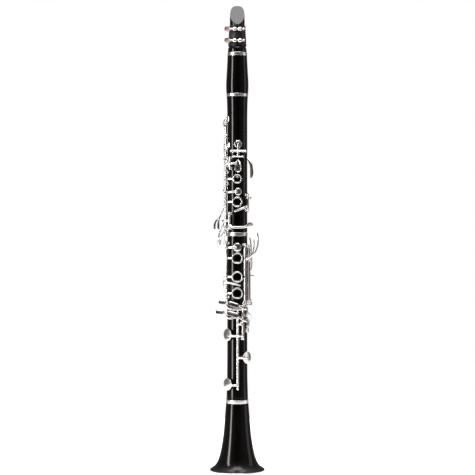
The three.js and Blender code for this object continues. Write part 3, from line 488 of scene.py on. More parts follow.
def woven_band():
    """Black band of the ligature: a close pebbled grain."""
    material, tree, surface = shader("ligature", (0.012, 0.011, 0.0105), 0.5)
    place = added(tree, "TexCoord")
    cells = added(tree, "TexVoronoi", {"Scale": 1500})
    tree.links.new(place.outputs["Object"], cells.inputs["Vector"])
    tinted(tree, surface, cells.outputs["Distance"], [
        (0.1, (0.02, 0.018, 0.017)), (0.7, (0.007, 0.006, 0.006))])
    varied(tree, surface, noise(tree, 500, 4), 0.4, 0.6)
    bumped(tree, surface, cells.outputs["Distance"], -0.35, 0.0001)
    return material


MATERIALS = {
    "grenadilla": grenadilla(),
    "ebonite": hard_rubber(),
    # Pale cane with long fibres.
    "cane": grained("cane", (1500, 4, (1, 1, 0.02)), [
        (0.35, (0.5, 0.33, 0.13)), (0.55, (0.7, 0.5, 0.22)), (0.7, (0.8, 0.62, 0.32))], (0.45, 0.65), 0.3),
    "ligature": woven_band(),
    "cork": grained("cork", (700, 6), [
        (0.35, (0.2, 0.11, 0.05)), (0.5, (0.42, 0.26, 0.13)), (0.7, (0.55, 0.37, 0.2))],
        (0.7, 0.95), 0.5, 0.0002),
    "silver": plated("silver", (0.86, 0.84, 0.82), 0.2, 0.28, 0.02),
    "satin": plated("satin", (0.88, 0.865, 0.86), 0.26, 0.36, 0.02),
    "rose": plated("rose", (0.8, 0.66, 0.64), 0.4, 0.5, 0.02),
    "steel": plated("steel", (0.62, 0.62, 0.64), 0.16, 0.3, 0.05),
    "blued": plated("blued", (0.06, 0.08, 0.15), 0.2, 0.32, 0.05),
    "pad": grained("pad_skin", (600, 5), [
        (0.35, (0.6, 0.48, 0.3)), (0.65, (0.78, 0.68, 0.48))], (0.35, 0.55), 0.2),
    "trim": grained("trim", (1800, 4, (1, 1, 0.3)), [
        (0.35, (0.07, 0.022, 0.008)), (0.65, (0.15, 0.05, 0.02))], (0.4, 0.6), 0.3),
}

# ------------ pieces


def mesh_of(name, shells):
    """Mesh of the shells in metres, its faces turned outwards."""
    verts, faces = [], []
    for points, polygons in shells:
        base = len(verts)
        verts += [p * MM for p in points]
        faces += [[base + v for v in f] for f in polygons]
    mesh = bpy.data.meshes.new(name)
    mesh.from_pydata(verts, [], faces)
    mesh.validate()
    work = bmesh.new()
    work.from_mesh(mesh)
    bmesh.ops.recalc_face_normals(work, faces=work.faces)
    work.to_mesh(mesh)
    work.free()
    return mesh


def placed(name, mesh):
    made = bpy.data.objects.new(name, mesh)
    bpy.context.scene.collection.objects.link(made)
    return made


def smoothed(mesh, sharp):
    """Smooth shading, but for edges sharper than the angle in degrees."""
    mesh.polygons.foreach_set("use_smooth", [True] * len(mesh.polygons))
    mesh.set_sharp_from_angle(angle=math.radians(sharp))


def extra(name, body, slot, shells, finish=None, sharp=38):
    """One piece from its shells, riding on a body. Its look is its slot's unless a finish is given."""
    mesh = mesh_of(name, shells)
    smoothed(mesh, sharp)
    mesh.materials.append(MATERIALS[finish or slot])
    made = placed(name, mesh)
    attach(made, body)
    return made


def piece(node, body, slot, shells, finish=None, sharp=38):
    """A piece that stands for one CAD node."""
    made = extra(node + "_piece", body, slot, shells, finish, sharp)
    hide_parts(node)
    return made


def carve(made, cutters, sharp=38):
    """Cuts the shells out of a piece for good."""
    tool = placed("cutter", mesh_of("cutter", cutters))
    change = made.modifiers.new("cut", "BOOLEAN")
    change.operation = "DIFFERENCE"
    change.solver = "EXACT"
    change.use_self = True
    change.object = tool
    result = bpy.data.meshes.new_from_object(made.evaluated_get(bpy.context.evaluated_depsgraph_get()))
    made.modifiers.remove(change)
    made.data = result
    bpy.data.objects.remove(tool)
    smoothed(result, sharp)


def spline(stations, steps=8):
    """Smooth (radius, height) curve through stations."""
    result = []
    last = len(stations) - 1
    for i in range(last):
        p = [Vector(stations[max(min(k, last), 0)]) for k in (i - 1, i, i + 1, i + 2)]
        for k in range(steps):
            t = k / steps
            v0 = (p[2] - p[0]) / 2
            v1 = (p[3] - p[1]) / 2
            result.append(tuple((2 * p[1] - 2 * p[2] + v0 + v1) * t ** 3
                                + (-3 * p[1] + 3 * p[2] - 2 * v0 - v1) * t * t + v0 * t + p[1]))
    result.append(tuple(stations[-1]))
    return result


# ------------ bell, joints and barrel

TENON_R = 10.9
GROOVE_R = 9.4
SOCKET_R = 11.35
CORK_MARGIN = 3.0
RING_SEAT = 1.2
SIDES = 112


def tenon(z, way):
    """Outline of a tenon that runs from z, down (-1) or up (+1), with its cork groove."""
    a = z + way * CORK_MARGIN
    b = z + way * (TENON_L - CORK_MARGIN)
    end = z + way * TENON_L
    return [(TENON_R, z), (TENON_R, a), (GROOVE_R, a), (GROOVE_R, b), (TENON_R, b),
            (TENON_R, end - way * 0.4), (TENON_R - 0.4, end)]


def cork_ring(z, way):
    a, b = sorted((z + way * (CORK_MARGIN + GAP), z + way * (TENON_L - CORK_MARGIN - GAP)))
    return ring(GROOVE_R + GAP, SOCKET_R - GAP, a, b, 64, 0.6)


def wooden(node, body, outline, radius=0.35):
    """Turned wooden body with softened edges."""
    closed = rounded(outline + [outline[0]], radius, 2)[:-1]
    return piece(node, body, "grenadilla", [turned(closed, SIDES, closed=True)])


def metal_ring(node, body, shell):
    return piece(node, body, "silver", [shell], "satin")


BELL_RING_Z0, BELL_RING_Z1 = span("bell_socket_ring", 2)
NECK_R = 15.4
NECK_RING_IN = NECK_R - 0.9
RIM_H = span("bell_rim_ring", 2)[1]
RIM_IN = RIM_R - 2.8
inner_flare = spline([
    (RIM_IN + 0.3, RIM_H + GAP), (27, 13), (20.5, 28), (15, 55), (SOCKET_R + 0.4, 84)], 9)
outer_flare = spline([
    (17.4, 80.4), (20.1, 51.8), (23.7, 30.3), (27.65, 16), (32.4, 8), (RIM_R - 0.5, RIM_H + GAP)], 9)
bell_outline = [*inner_flare, (SOCKET_R, 85), (SOCKET_R, BELL_TOP), (NECK_R, BELL_TOP),
                (NECK_R, BELL_RING_Z1 + 0.1), (NECK_R - RING_SEAT, BELL_RING_Z1 + 0.1),
                (NECK_R - RING_SEAT, BELL_RING_Z0 - 0.1), (16, BELL_RING_Z0 - 0.1), *outer_flare]
wooden("bell", "instrument", bell_outline, 0.2)
socket_ring_outline = [
    (NECK_RING_IN, 100), (NECK_RING_IN, BELL_RING_Z0), (15.85, BELL_RING_Z0), (15.9, BELL_RING_Z0 + 0.6),
    (15.9, BELL_RING_Z1 - 0.6), (15.7, BELL_RING_Z1), (NECK_RING_IN, BELL_RING_Z1), (NECK_RING_IN, 100.1)]
rim_ring_outline = [
    (RIM_IN, 1.5), (RIM_IN, 0.4), (RIM_IN + 0.5, 0), (RIM_R - 0.9, 0), (RIM_R, 0.9), (RIM_R, RIM_H - 0.8),
    (RIM_R - 0.6, RIM_H), (RIM_IN, RIM_H), (RIM_IN, 1.6)]
for node, outline in (("bell_socket_ring", socket_ring_outline), ("bell_rim_ring", rim_ring_outline)):
    metal_ring(node, "instrument", turned(rounded(outline, 0.4), SIDES, closed=True))

LOWER_Z0 = BELL_TOP + GAP
LOWER_RING = span("lower_joint_socket_ring", 2)


def mouth(z, depth):
    """The bore's end at a height, going in: through a socket of that depth, downwards, or straight on."""
    return [(SOCKET_R, z), (SOCKET_R, z - depth), (BORE_R, z - depth)] if depth else [(BORE_R, z)]


def section(low, high, outer, socket_low=0.0, socket_high=0.0):
    """Closed outline of a bored section: its outside from the bottom up, then the bore back down."""
    return outer + mouth(high, socket_high) + mouth(low, -socket_low)[::-1]


SOCKET_DEPTH = TENON_L + 0.5
lower_outline = section(LOWER_Z0 - TENON_L, LOWER_TOP, [
    *tenon(LOWER_Z0, -1)[::-1], (15.3, LOWER_Z0), (15.05, 116), (14.6, 130), (BODY_R + 0.1, 150),
    (BODY_R, 180), (BODY_R, LOWER_RING[0] - 0.1), (BODY_R - RING_SEAT, LOWER_RING[0] - 0.1),
    (BODY_R - RING_SEAT, LOWER_TOP)], socket_high=SOCKET_DEPTH)
UPPER_Z0 = LOWER_TOP + GAP
upper_outline = section(UPPER_Z0 - TENON_L, UPPER_TOP + TENON_L, [
    *tenon(UPPER_Z0, -1)[::-1], (BODY_R, UPPER_Z0), (BODY_R, 505), (14.5, 520), (14.9, UPPER_TOP),
    *tenon(UPPER_TOP, 1)])
BARREL_Z0 = UPPER_TOP + GAP
RING_LOW = span("barrel_bottom_ring", 2)
RING_HIGH = span("barrel_top_ring", 2)
barrel_outline = section(BARREL_Z0, BARREL_TOP, [
    (15, BARREL_Z0), (15.05, RING_LOW[0] - 0.1), (14.9 - RING_SEAT, RING_LOW[0] - 0.1),
    (14.9 - RING_SEAT, RING_LOW[1] + 0.1), (15.4, RING_LOW[1] + 0.1),
    *spline([(15.6, 542), (15.9, 546), (16, 554), (15.6, 562.5), (15.1, 571), (14.6, 580), (14.15, 590)], 4),
    (14.1, RING_HIGH[0] - 0.1), (13.9 - RING_SEAT, RING_HIGH[0] - 0.1), (13.9 - RING_SEAT, BARREL_TOP)],
    SOCKET_DEPTH, SOCKET_DEPTH)

# Tone holes: angle, height, radius, and the outer radius of the raised seat round the hole.
UPPER_HOLES = [
    (0, 417.6, 3.6, 4), (0, 384.8, 3.9, 4.4), (0, 362, 3.9, 0), (180, 424, 4.5, 0), (4, 467, 3.2, 0),
    (4, 399.3, 3.2, 0), (-62, 438, 2.8, 0), (-60, 503, 1.8, 0), (-54, 466, 2.8, 0), (-84, 479, 2.6, 0),
    (-117, 434, 2.8, 0), (-137, 424, 2.8, 0), (95, 391, 3, 0), (-92, 358, 2.8, 0)]
LOWER_HOLES = [
    (0, 304.9, 4.2, 5), (0, 278.3, 4.2, 5), (0, 255, 4.4, 5), (0, 320.3, 3.6, 0), (-100, 266.5, 3.2, 0),
    (82, 212, 4.6, 0), (-50, 195.8, 5.6, 0), (50, 163.4, 5.8, 0), (-50, 125.3, 5.8, 0)]
SEAT_ROOT = BODY_R - 0.6


def seats(holes):
    """Raised wooden chimneys inside the finger rings, with softened mouths."""
    top = SEAT_R + OPEN + 1.1 - SEAT_ROOT
    return [moved(ring(r, outer, 0, top, 40, 0.45), frame_at(angle, SEAT_ROOT, z))
            for angle, z, r, outer in holes if outer]


def drill(holes):
    """Drills that reach from inside the bore to outside the body."""
    return [rod(at(angle, 4, z), at(angle, 24, z), r, 32, 0.01) for angle, z, r, _ in holes]


for node, outline, holes in (
        ("upper_joint", upper_outline, UPPER_HOLES), ("lower_joint", lower_outline, LOWER_HOLES)):
    carve(wooden(node, "instrument", outline), drill(holes))
extra("tone_hole_seats", "instrument", "grenadilla", seats(UPPER_HOLES + LOWER_HOLES))
wooden("barrel", "barrel", barrel_outline)
for node, body, inner, outer, ends in (
        ("lower_joint_socket_ring", "instrument", BODY_R - 0.9, BODY_R + 0.35, LOWER_RING),
        ("barrel_top_ring", "barrel", 13.0, 14.05, RING_HIGH),
        ("barrel_bottom_ring", "barrel", 14.0, 15.4, RING_LOW)):
    metal_ring(node, body, ring(inner, outer, *ends, SIDES, 0.5))
MOUTHPIECE_Z = BARREL_TOP + GAP
for node, body, z, way in (
        ("bell_tenon_cork", "instrument", LOWER_Z0, -1), ("middle_tenon_cork", "instrument", UPPER_Z0, -1),
        ("upper_tenon_cork", "instrument", UPPER_TOP, 1),
        ("mouthpiece_cork", "mouthpiece", MOUTHPIECE_Z, -1)):
    piece(node, body, "cork", [cork_ring(z, way)])

# ------------ mouthpiece, reed and ligature

TABLE_Y = 8.9
TIP_Y = 7.6
BEAK_Z = 637.4
BEAK_Y = -10.9
TIP_ROUND_Z = 647.0
TIP_HALF = 10.5
TABLE_Z = 600.5         # foot of the flat table
FACING_Z = 645.0        # where the table curves away from the reed
TAPER_Z = 608.0         # where the body starts to taper to the beak
TAPER_R = 12.2
BEAK_R = 10.7


def beak_y(z):
    """Front face of the sloping beak at a height."""
    return BEAK_Y + (z - BEAK_Z) / (TIP + 0.5 - BEAK_Z) * (TIP_Y - BEAK_Y)


def taper_radius(z):
    """Radius of the mouthpiece under the ligature at a height."""
    return TAPER_R + (z - TAPER_Z) / (BEAK_Z - TAPER_Z) * (BEAK_R - TAPER_R)


def mouthpiece_shell():
    """Round shank and body that flatten to the table at the back and the beak in front."""
    sides = 96
    turns = [2 * math.pi * k / sides for k in range(sides)]
    levels = [(MOUTHPIECE_Z, 13.2), (MOUTHPIECE_Z + 0.4, 13.5), (MOUTHPIECE_Z + 5.8, 13.2),
              (MOUTHPIECE_Z + 6.5, 12.85), (607, TAPER_R)]
    levels += [(z, taper_radius(z)) for z in (TAPER_Z, 615, 622, 630, 636, BEAK_Z)]
    levels += [(BEAK_Z + (TIP - 2 - BEAK_Z) * k / 22, BEAK_R - 0.2 * k / 22) for k in range(1, 23)]
    levels += [(TIP - drop, TIP_HALF) for drop in (1.5, 1.1, 0.8, 0.5, 0.3, 0.15, 0.05, 0)]
    rings = [[Vector((r * math.cos(a), r * math.sin(a), z)) for a in turns]
             for r, z in tenon(MOUTHPIECE_Z, -1)[::-1]]
    for z, r in levels:
        half = r
        if z > TIP_ROUND_Z:
            # The tip is rounded in front view.
            u = (z - TIP_ROUND_Z) / (TIP - TIP_ROUND_Z)
            half = min(r, max(TIP_HALF * max(1 - u ** 3, 0) ** (1 / 3), 1.2))
        front = beak_y(z) if z > BEAK_Z else -30
        level = []
        for a in turns:
            x, y = r * math.cos(a), r * math.sin(a)
            if z > TABLE_Z:
                fall = max(0, (z - FACING_Z) / (TIP - FACING_Z)) ** 2
                y = min(y, TABLE_Y - (TABLE_Y - TIP_Y) * fall)
            y = max(y, min(front, TIP_Y - 0.35))
            level.append(Vector((max(-half, min(half, x)), y, z)))
        rings.append(level)
    return skinned(rings)


mouthpiece = piece("mouthpiece", "mouthpiece", "ebonite", [mouthpiece_shell()], sharp=30)
BORE_TOP = 633
carve(mouthpiece, [rod(Vector((0, 0, 570)), Vector((0, 0, BORE_TOP)), BORE_R - 0.3, 48, 0.01)], 30)


def oblong(half, y0, y1, z):
    """Corners of a flat rectangle at a height, for skinning."""
    return [Vector((x, y, z)) for x, y in ((-half, y0), (half, y0), (half, y1), (-half, y1))]


# The window under the reed, wider towards the tip.
window = [oblong(4.4, 3, TABLE_Y + 2, 632), oblong(5.1, TIP_Y - 0.5, TABLE_Y + 2, 662)]
carve(mouthpiece, [skinned(window)], 30)
REED_BOX = [span("reed", axis) for axis in range(3)]


def reed_shell():
    """Cane strip: flat on the table, rounded on its back, and scraped to a thin rounded tip."""
    z0, z1 = REED_BOX[2]
    y0 = REED_BOX[1][0]
    thick = REED_BOX[1][1] - y0
    rings = []
    across, along = 14, 44
    for n in range(along + 1):
        u = n / along
        z = z0 + (z1 - z0) * (1 - (1 - u) ** 1.15)
        half = 5.4 + (6.4 - 5.4) * min(1, (z - z0) / (z1 - z0 - 8))
        if z > z1 - 6:
            t = (z - (z1 - 6)) / 6
            half *= math.sqrt(max(0.0, 1 - t * t * 0.985))
        scrape = max(0.0, (z - z0 - 32) / (z1 - z0 - 32))
        height = thick * (1 - scrape) ** 1.25 * (1 - 0.12 * scrape) + 0.12 * scrape
        level = []
        for k in range(across + 1):
            x = half * (2 * k / across - 1)
            crown = 1 - 0.35 * (x / half) ** 2
            level.append(Vector((x, y0 + max(height * crown, 0.06), z)))
        level += [Vector((half * (1 - 2 * k / across), y0 + 0.01, z)) for k in range(across + 1)]
        rings.append(level)
    return skinned(rings)


piece("reed", "mouthpiece", "cane", [reed_shell()], sharp=30)

LIGATURE_Z0 = 608.0
LIGATURE_Z1 = 637.0
SCREW_ZS = {"ligature_screw_lower": 614.5, "ligature_screw_upper": 630.6}
SCREW_Y = -14.7
KNUCKLE_R = 2.8
KNUCKLE_L = 6.9
PADDLE_R = 4.25
PADDLE_X = -14.4
BAND_BACK = 12.5


def band_shell():
    """Tapered oval band round mouthpiece and reed, rolled at both edges and open down the front."""
    sides = 120
    steps = 25
    opening = math.radians(4)
    levels = []
    for k in range(steps + 1):
        t = k / steps
        roll = 0.18 * (math.exp(-((t - 0.03) / 0.03) ** 2) + math.exp(-((t - 0.97) / 0.03) ** 2))
        levels.append((0.85 + roll, LIGATURE_Z0 + 0.15 + (LIGATURE_Z1 - LIGATURE_Z0 - 0.3) * t))
    levels += [(0.22, z) for _, z in levels[::-1]]
    rings = []
    for k in range(sides + 1):
        a = -math.pi / 2 + opening + (2 * math.pi - 2 * opening) * k / sides
        level = []
        for proud, z in levels:
            r = taper_radius(z)
            depth = (r + BAND_BACK) / 2
            y = (depth + proud) * math.sin(a) + BAND_BACK - depth
            level.append(Vector(((r + proud) * math.cos(a), y, z)))
        rings.append(level)
    return skinned(rings)


piece("ligature_band", "mouthpiece", "ligature", [band_shell()])
lug_shells = []
for z in SCREW_ZS.values():
    for side in (-1, 1):
        x0 = side * 0.25
        x1 = side * (KNUCKLE_L + 0.25)
        a, b = Vector((x0, SCREW_Y, z)), Vector((x1, SCREW_Y, z))
        swell = [math.sin(math.pi * k / 14) ** 0.6 for k in range(15)]
        bulge = [(1.7 + (KNUCKLE_R - 1.7) * rise, 0.35 + (KNUCKLE_L - 0.7) * k / 14)
                 for k, rise in enumerate(swell)]
        outline = [(1.4, 0.35), *bulge, (1.4, KNUCKLE_L - 0.35)]
        lug_shells.append(moved(turned(outline, 32, closed=True), line_frame(a, b)))
extra("ligature_knuckles", "mouthpiece", "silver", lug_shells)
# Gold-brown trim that shows down the open front of the band, between the screws.
trim_ends = [(619.5, -12.75), (626, -12.4)]
extra("ligature_front_trim", "mouthpiece", "ligature",
      [skinned([oblong(0.4, y, y + 0.6, z) for z, y in trim_ends])], "trim")


def screw_rod(z, x0, x1, radius, sides=28, edge=0.3):
    return rod(Vector((x0, SCREW_Y, z)), Vector((x1, SCREW_Y, z)), radius, sides, edge)


for name, z in SCREW_ZS.items():
    centre = Vector((PADDLE_X, SCREW_Y, z))
    face = Matrix.Translation(centre) @ Matrix.Rotation(math.radians(90), 4, "X")
    curve = [math.radians(a) for a in range(0, 181, 20)]
    edge = [(PADDLE_R - 0.35 + 0.35 * math.sin(a), -0.9 * math.cos(a)) for a in curve]
    coin = [(0, -0.62), (PADDLE_R - 1.2, -0.62), *edge, (PADDLE_R - 1.2, 0.62), (0, 0.62)]
    piece(name, name, "silver", [
        moved(turned(coin, 48), face),
        screw_rod(z, PADDLE_X + 3.6, 10.4, 1.05, 20, 0.2),
        screw_rod(z, -10.8, -9.6, 1.7),
        screw_rod(z, -9.3, -7.7, 1.45),
        screw_rod(z, 7.7, 10.6, 1.7, edge=0.4),
    ], "rose")

# ------------ key work
# Arms are lists of stations: angle, radius, height, and where it changes, width and thickness. A pad is
# angle, height and radius, and how far it stands open beyond the others.


def touch(x, y, z, reach, half, turn, lean=0.0):
    """Little-finger touch: a capsule plate facing the front, dished along its middle.

    The turn tips its long way up to the left and the lean swings it towards the left, both in degrees."""
    face = (Matrix.Translation((x, y, z)) @ Matrix.Rotation(math.radians(-lean), 4, "Z")
            @ Matrix.Rotation(math.radians(90), 4, "X") @ Matrix.Rotation(math.radians(-turn), 4, "Z"))
    return plate(slot_outline(half - reach, 0, reach - half, 0, half), 1.7, face, 0.45, 0.35)


def key_piece(name, shells, pads=()):
    """A key with its pads: cups are part of the silver key and each pad is its own piece."""
    piece(name, name, "silver", shells + [cup(*p) for p in pads])
    if pads:
        extra(name + "_pads", name, "cork", [pad(*p) for p in pads], "pad")


def slots(name, ends):
    """Slotted pivot screw heads at the outer ends of a hinge line."""
    shells = []
    for start, end in ends:
        direction = (end - start).normalized()
        tip = start - direction * 2.0
        shells.append(rod(tip - direction * 0.55, start, 1.05, 20, 0.22))
        side = Vector((0, 0, 1)).cross(direction)
        side = side.normalized() if side.length > 0.1 else direction.orthogonal().normalized()
        slot = tip - direction * 0.62
        shells.append(rod(slot - side * 0.8, slot + side * 0.8, 0.16, 8, 0.05))
    extra(name, "instrument", "steel", shells, "blued")


def hinge_line(name, shells, low, high):
    """Pillars of one hinge, and the screws at its two ends."""
    piece(name, "instrument", "steel", shells, "silver")
    slots(name + "_screws", [(low, high), (high, low)])


def pillars(name, angle, heights, radius=HINGE_R, more=()):
    low, high = at(angle, radius, heights[0]), at(angle, radius, heights[-1])
    hinge_line(name, [*z_posts(angle, heights, radius), *more], low, high)


def cross_pillars(name, angle, radius, z, half):
    hinge_line(name, cross_posts(angle, radius, z, half), *cross_ends(angle, radius, z, half))


springs = []


def spring(angle, radius, z0, z1, side):
    """Needle spring: a straight wire beside a hinge tube, from a pillar to a free end."""
    root = at(angle + side, radius - 0.9, z0)
    springs.append(rod(root, at(angle + side * 1.15, radius - 1.3, z1), 0.28, 8, 0.05))


def hinged_key(name, angle, posts, tube, shells, pads=()):
    """A key with a hinge line of its own along the body: its pillars, its tube and the rest of it."""
    pillars(name + "_pillars", angle, posts)
    key_piece(name + "_key", [z_sleeve(angle, *tube), *shells], pads)


REGISTER = -112
hinged_key("register", REGISTER, [452, 498.5], [454.5, 496], [
    arm([(REGISTER, HINGE_R, 493.5), (-98, 19.6, 496), (-78, 19, 501), (-60, CUP_TOP_R - 0.2, 503)]),
    arm([(REGISTER, HINGE_R, 456.5), (-135, 20.6, 456), (-170, 20.6, 455), (-205, 20.6, 452),
         (-228, 21.4, 446), (-240, 23, 438, 6.5, 1.8), (-241, 23.8, 427, 8, 1.8), (-241, 23, 419, 5, 1.6)]),
], [(-60, 503, 4.4)])
spring(REGISTER, HINGE_R, 452, 468, 7)

A_RADIUS = 17.4
cross_pillars("throat_a_pillars", 5, A_RADIUS, 457, 10)
key_piece("throat_a_key", [
    sleeve(*cross_ends(5, A_RADIUS, 457, 7.6), radius=1.5),
    arm([(5, A_RADIUS, 457), (4, CUP_TOP_R + 0.3, 462), (4, CUP_TOP_R - 0.4, 468.5, 2)]),
    arm([(5, A_RADIUS, 457), (4, 18.8, 452), (4, 18.8, 449.5)]),
    arm([(-20, 20, 449, 3), (-9, 18.9, 449, 1.7), (4, 18.7, 449, 1.9), (17, 18.9, 449, 1.7),
         (28, 20, 449, 3)]),
], [(4, 467, 5.4)])

G_SHARP = angle_at(-10.6)
foot_turns = [-math.pi * k / 16 for k in range(1, 16)]
teardrop = (bezier((0, 7.2), (1.6, 6.4), (4.9, 0), (4.8, -6.6))
            + [(4.8 * math.cos(a), -7 + 4.8 * math.sin(a)) for a in foot_turns]
            + bezier((-4.8, -6.6), (-4.9, 0), (-1.6, 6.4), (0, 7.2)))
hinged_key("throat_g_sharp", G_SHARP, [432.6, 447.4], [435.2, 444.8], [
    arm([(G_SHARP, 18.6, 439.5), (-50, 20.2, 439), (-62, 20, 438.4), (-67, 17.2, 438)]),
    arm([(G_SHARP, 18.4, 439.5), (-18, 19.2, 439.5), (0, 18.4, 439)]),
    plate(teardrop, 1.5, frame_at(3.5, 17.6, 438.3), 0.4, 0.7),
], [(-62, 438, 4.2)])

SIDE_RADIUS = 18.3
SIDE_KEYS = [
    ("side_trill_pillars", -90, 446, [
        ("side_trill_key_upper", 1.95, -84, (-54, 466, 4.2),
         [(-84, 18.9, 380), (-84, 24.5, 365), (-85, 31, 357, 5, 2.2), (-86, 32.6, 351, 5.6, 2.8),
          (-86, 32, 344, 4.6, 2.4)]),
        ("side_trill_key_lower", -1.95, -96, (-84, 479, 4),
         [(-96, 18.9, 380), (-97, 23.2, 368), (-99, 27, 358, 5, 2.2), (-100, 27.6, 351, 5.6, 2.8),
          (-100, 27.2, 344, 4.6, 2.4)])]),
    ("side_key_pillars", -125.5, 402, [
        ("side_b_flat_key", 1.95, -119, (-117, 434, 4.2),
         [(-119, 18.4, 372), (-119, 22, 354), (-118, 28.4, 344, 4.6, 2.2), (-117, 30.8, 339, 5.6, 2.8),
          (-117, 30.4, 333, 4.6, 2.4)]),
        ("side_e_flat_key", -1.95, -132, (-137, 424, 4),
         [(-132, 18.4, 368), (-132, 23, 346), (-130, 31, 334, 4.6, 2.2), (-129, 33.6, 329, 5.6, 2.8),
          (-128, 33.2, 323, 5, 2.4)])]),
]
for pillar_name, centre, z, keys in SIDE_KEYS:
    cross_pillars(pillar_name, centre, SIDE_RADIUS, z, 6)
    for name, offset, angle, (pad_angle, pad_z, pad_r), tail in keys:
        low, high = cross_ends(centre, SIDE_RADIUS, z, 1)
        around = (high - low).normalized()
        middle = (low + high) / 2 + around * offset
        key_piece(name, [
            sleeve(middle - around * 1.7, middle + around * 1.7),
            arm([(angle, SIDE_RADIUS, z), (angle, 18.4, (z + 376) / 2), *tail], width=2.6),
            arm([(angle, SIDE_RADIUS, z), (angle, 18.6, z + 8), (pad_angle, 18.4, pad_z - 4),
                 (pad_angle, CUP_TOP_R - 0.3, pad_z + 1)], width=2.6),
        ], [(pad_angle, pad_z, pad_r)])

STACK = -69.8
pillars("upper_stack_pillars", STACK, [344.6, 411.5, 427.4])
key_piece("index_ring_key", [z_sleeve(STACK, 414, 424.8), *front_ring(STACK, 417.6, 6.7, 4.3)])
key_piece("middle_ring_key", [
    z_sleeve(STACK, 347.2, 408.8), *front_ring(STACK, 384.8, 7.5, 4.75),
    arm([(STACK, 18.6, 398.4), (-45, 20, 398.6), (-18, 19.6, 399), (2, RING_KEY_TOP, 399.3)]),
    arm([(STACK, 18.8, 350), (-60, 20.1, 348, 2.8, 1.3), (-54, 19.7, 342, 2.8, 1.2),
         (-54, 19.7, 336, 2.8, 1.2)]),
], [(4, 399.3, 5.1, OPEN)])
spring(STACK, HINGE_R, 411.5, 396, 8)
spring(STACK, HINGE_R, 427.4, 418, 8)

SLIVER = angle_at(15)
hinged_key("upper_sliver", SLIVER, [373, 395], [375.4, 392.6], [
    arm([(SLIVER, 18.8, 390), (76, 20, 391), (92, 17.8, 391)]),
    arm([(SLIVER, 18.8, 378.4), (38, 18.9, 377.2), (18, 18, 375), (0, 17.5, 372.8), (-15, 17.4, 371.2)]),
], [(95, 391, 4.6)])

C_SHARP = angle_at(-11.2)
hinged_key("c_sharp", C_SHARP, [347.6, 368.4], [350.2, 366], [
    arm([(C_SHARP, 18.8, 358), (-54, 21.6, 358), (-72, 22, 358), (-86, 20.8, 358), (-92, 17.2, 358)]),
    arm([(C_SHARP, 18.8, 352.6), (-22, 19.4, 349.2), (10, 19.4, 348.6), (35, 20.8, 349.5),
         (43, 22.6, 351, 6.5), (50, 25, 352.4, 8), (55, 27, 353.4, 5)], width=3),
], [(-92, 358, 4.1)])

THUMB = 140
hinged_key("thumb_ring", THUMB, [411.6, 444.4], [414, 442], [
    finger_ring(180, 424, 7.2, 4.6),
    arm([(THUMB, 18.4, 424), (149, 18.6, 424), spot(6.5, 16.7, 424)]),
    arm([(THUMB, 18.8, 438), (155, 20, 439), (171, RING_KEY_TOP, 440)]),
], [(172, 440, 3.9, OPEN)])

RIGHT_STACK = -59.3
pillars("lower_stack_pillars", RIGHT_STACK, [249.4, 326.2])
RIGHT_RINGS_Z = (304.9, 278.3, 255)
key_piece("lower_ring_key", [
    z_sleeve(RIGHT_STACK, 251.8, 323.8),
    arm([(RIGHT_STACK, 18.8, 320), (-40, 20, 320), (-18, 19.8, 320.2), (-1, RING_KEY_TOP, 320.3)]),
    *[shell for z in RIGHT_RINGS_Z for shell in front_ring(RIGHT_STACK, z, 8.1, 5.4)],
    arm([(RIGHT_STACK, 18.8, 321.6), (-56, 21.8, 325, 2.8, 1.3), (-54, 21.7, 334, 2.8, 1.2),
         (-54, 21.7, 345, 2.8, 1.2)]),
], [(0, 320.3, 5.9, OPEN)])
spring(RIGHT_STACK, HINGE_R, 326.2, 309, 8)

LOWER_SLIVER = -80
hinged_key("lower_sliver", LOWER_SLIVER, [260.4, 276.6], [262.8, 274.2], [
    arm([(LOWER_SLIVER, 18.8, 267), (-90, 19.6, 266.6), (-101, 17.6, 266.5)]),
    arm([(LOWER_SLIVER, 18.9, 271.6), (-62, 21.9, 271.2), (-44, 20.6, 270.2), (-22, 18.2, 268.6),
         (0, 17.5, 267), (16, 17.4, 265.8)], width=2.4),
], [(-102, 266.5, 4.6)])

FRONT = angle_at(0.5)
LARGE_PAD_R = 8.5
LARGE_OPEN = 2.1
LARGE_TOP = CUP_TOP_R + LARGE_OPEN - 0.3
FRONT_POSTS = [119.6, 158, 218, 228.4]
FRONT_ROOT = 15.1
front_rib = arm([(FRONT, FRONT_ROOT + 0.3, FRONT_POSTS[0]), (FRONT, FRONT_ROOT + 0.3, FRONT_POSTS[3])],
                width=3.4, thickness=0.6)
front_posts = [post(FRONT, HINGE_R, z, FRONT_ROOT) for z in FRONT_POSTS]
piece("front_pillars", "instrument", "steel", [front_rib, *front_posts], "silver")
key_piece("e_b_key", [
    rod(at(FRONT, HINGE_R, 117.2), at(FRONT, HINGE_R, 230.8), 0.9, 20, 0.25),
    z_sleeve(FRONT, 122.4, 155.4),
    z_sleeve(FRONT, 220.6, 225.8),
    arm([(FRONT, 18.8, 124.6), (-15, 20.6, 124.4), (-36, 20.6, 124.8), (-52, LARGE_TOP, 125.3)]),
    arm([(FRONT, 18.9, 222.6), spot(-4, -20, 220.4), spot(-13, -19.4, 220.2), spot(-18.4, -18.6, 226),
         spot(-24, -17.8, 228)], width=2.6),
    touch(-24.6, -18, 228.5, 6.6, 3.1, 5, 8),
], [(-50, 125.3, LARGE_PAD_R, LARGE_OPEN)])
key_piece("f_c_pad_key", [
    z_sleeve(FRONT, 160.4, 215.6),
    arm([(FRONT, 18.8, 163.2), (18, 20.8, 163.2), (36, 20.6, 163.3), (52, LARGE_TOP, 163.4)]),
    arm([(FRONT, 18.8, 211), spot(2.4, -20.2, 211), spot(5, -19.9, 211)]),
], [(50, 163.4, LARGE_PAD_R, LARGE_OPEN)])

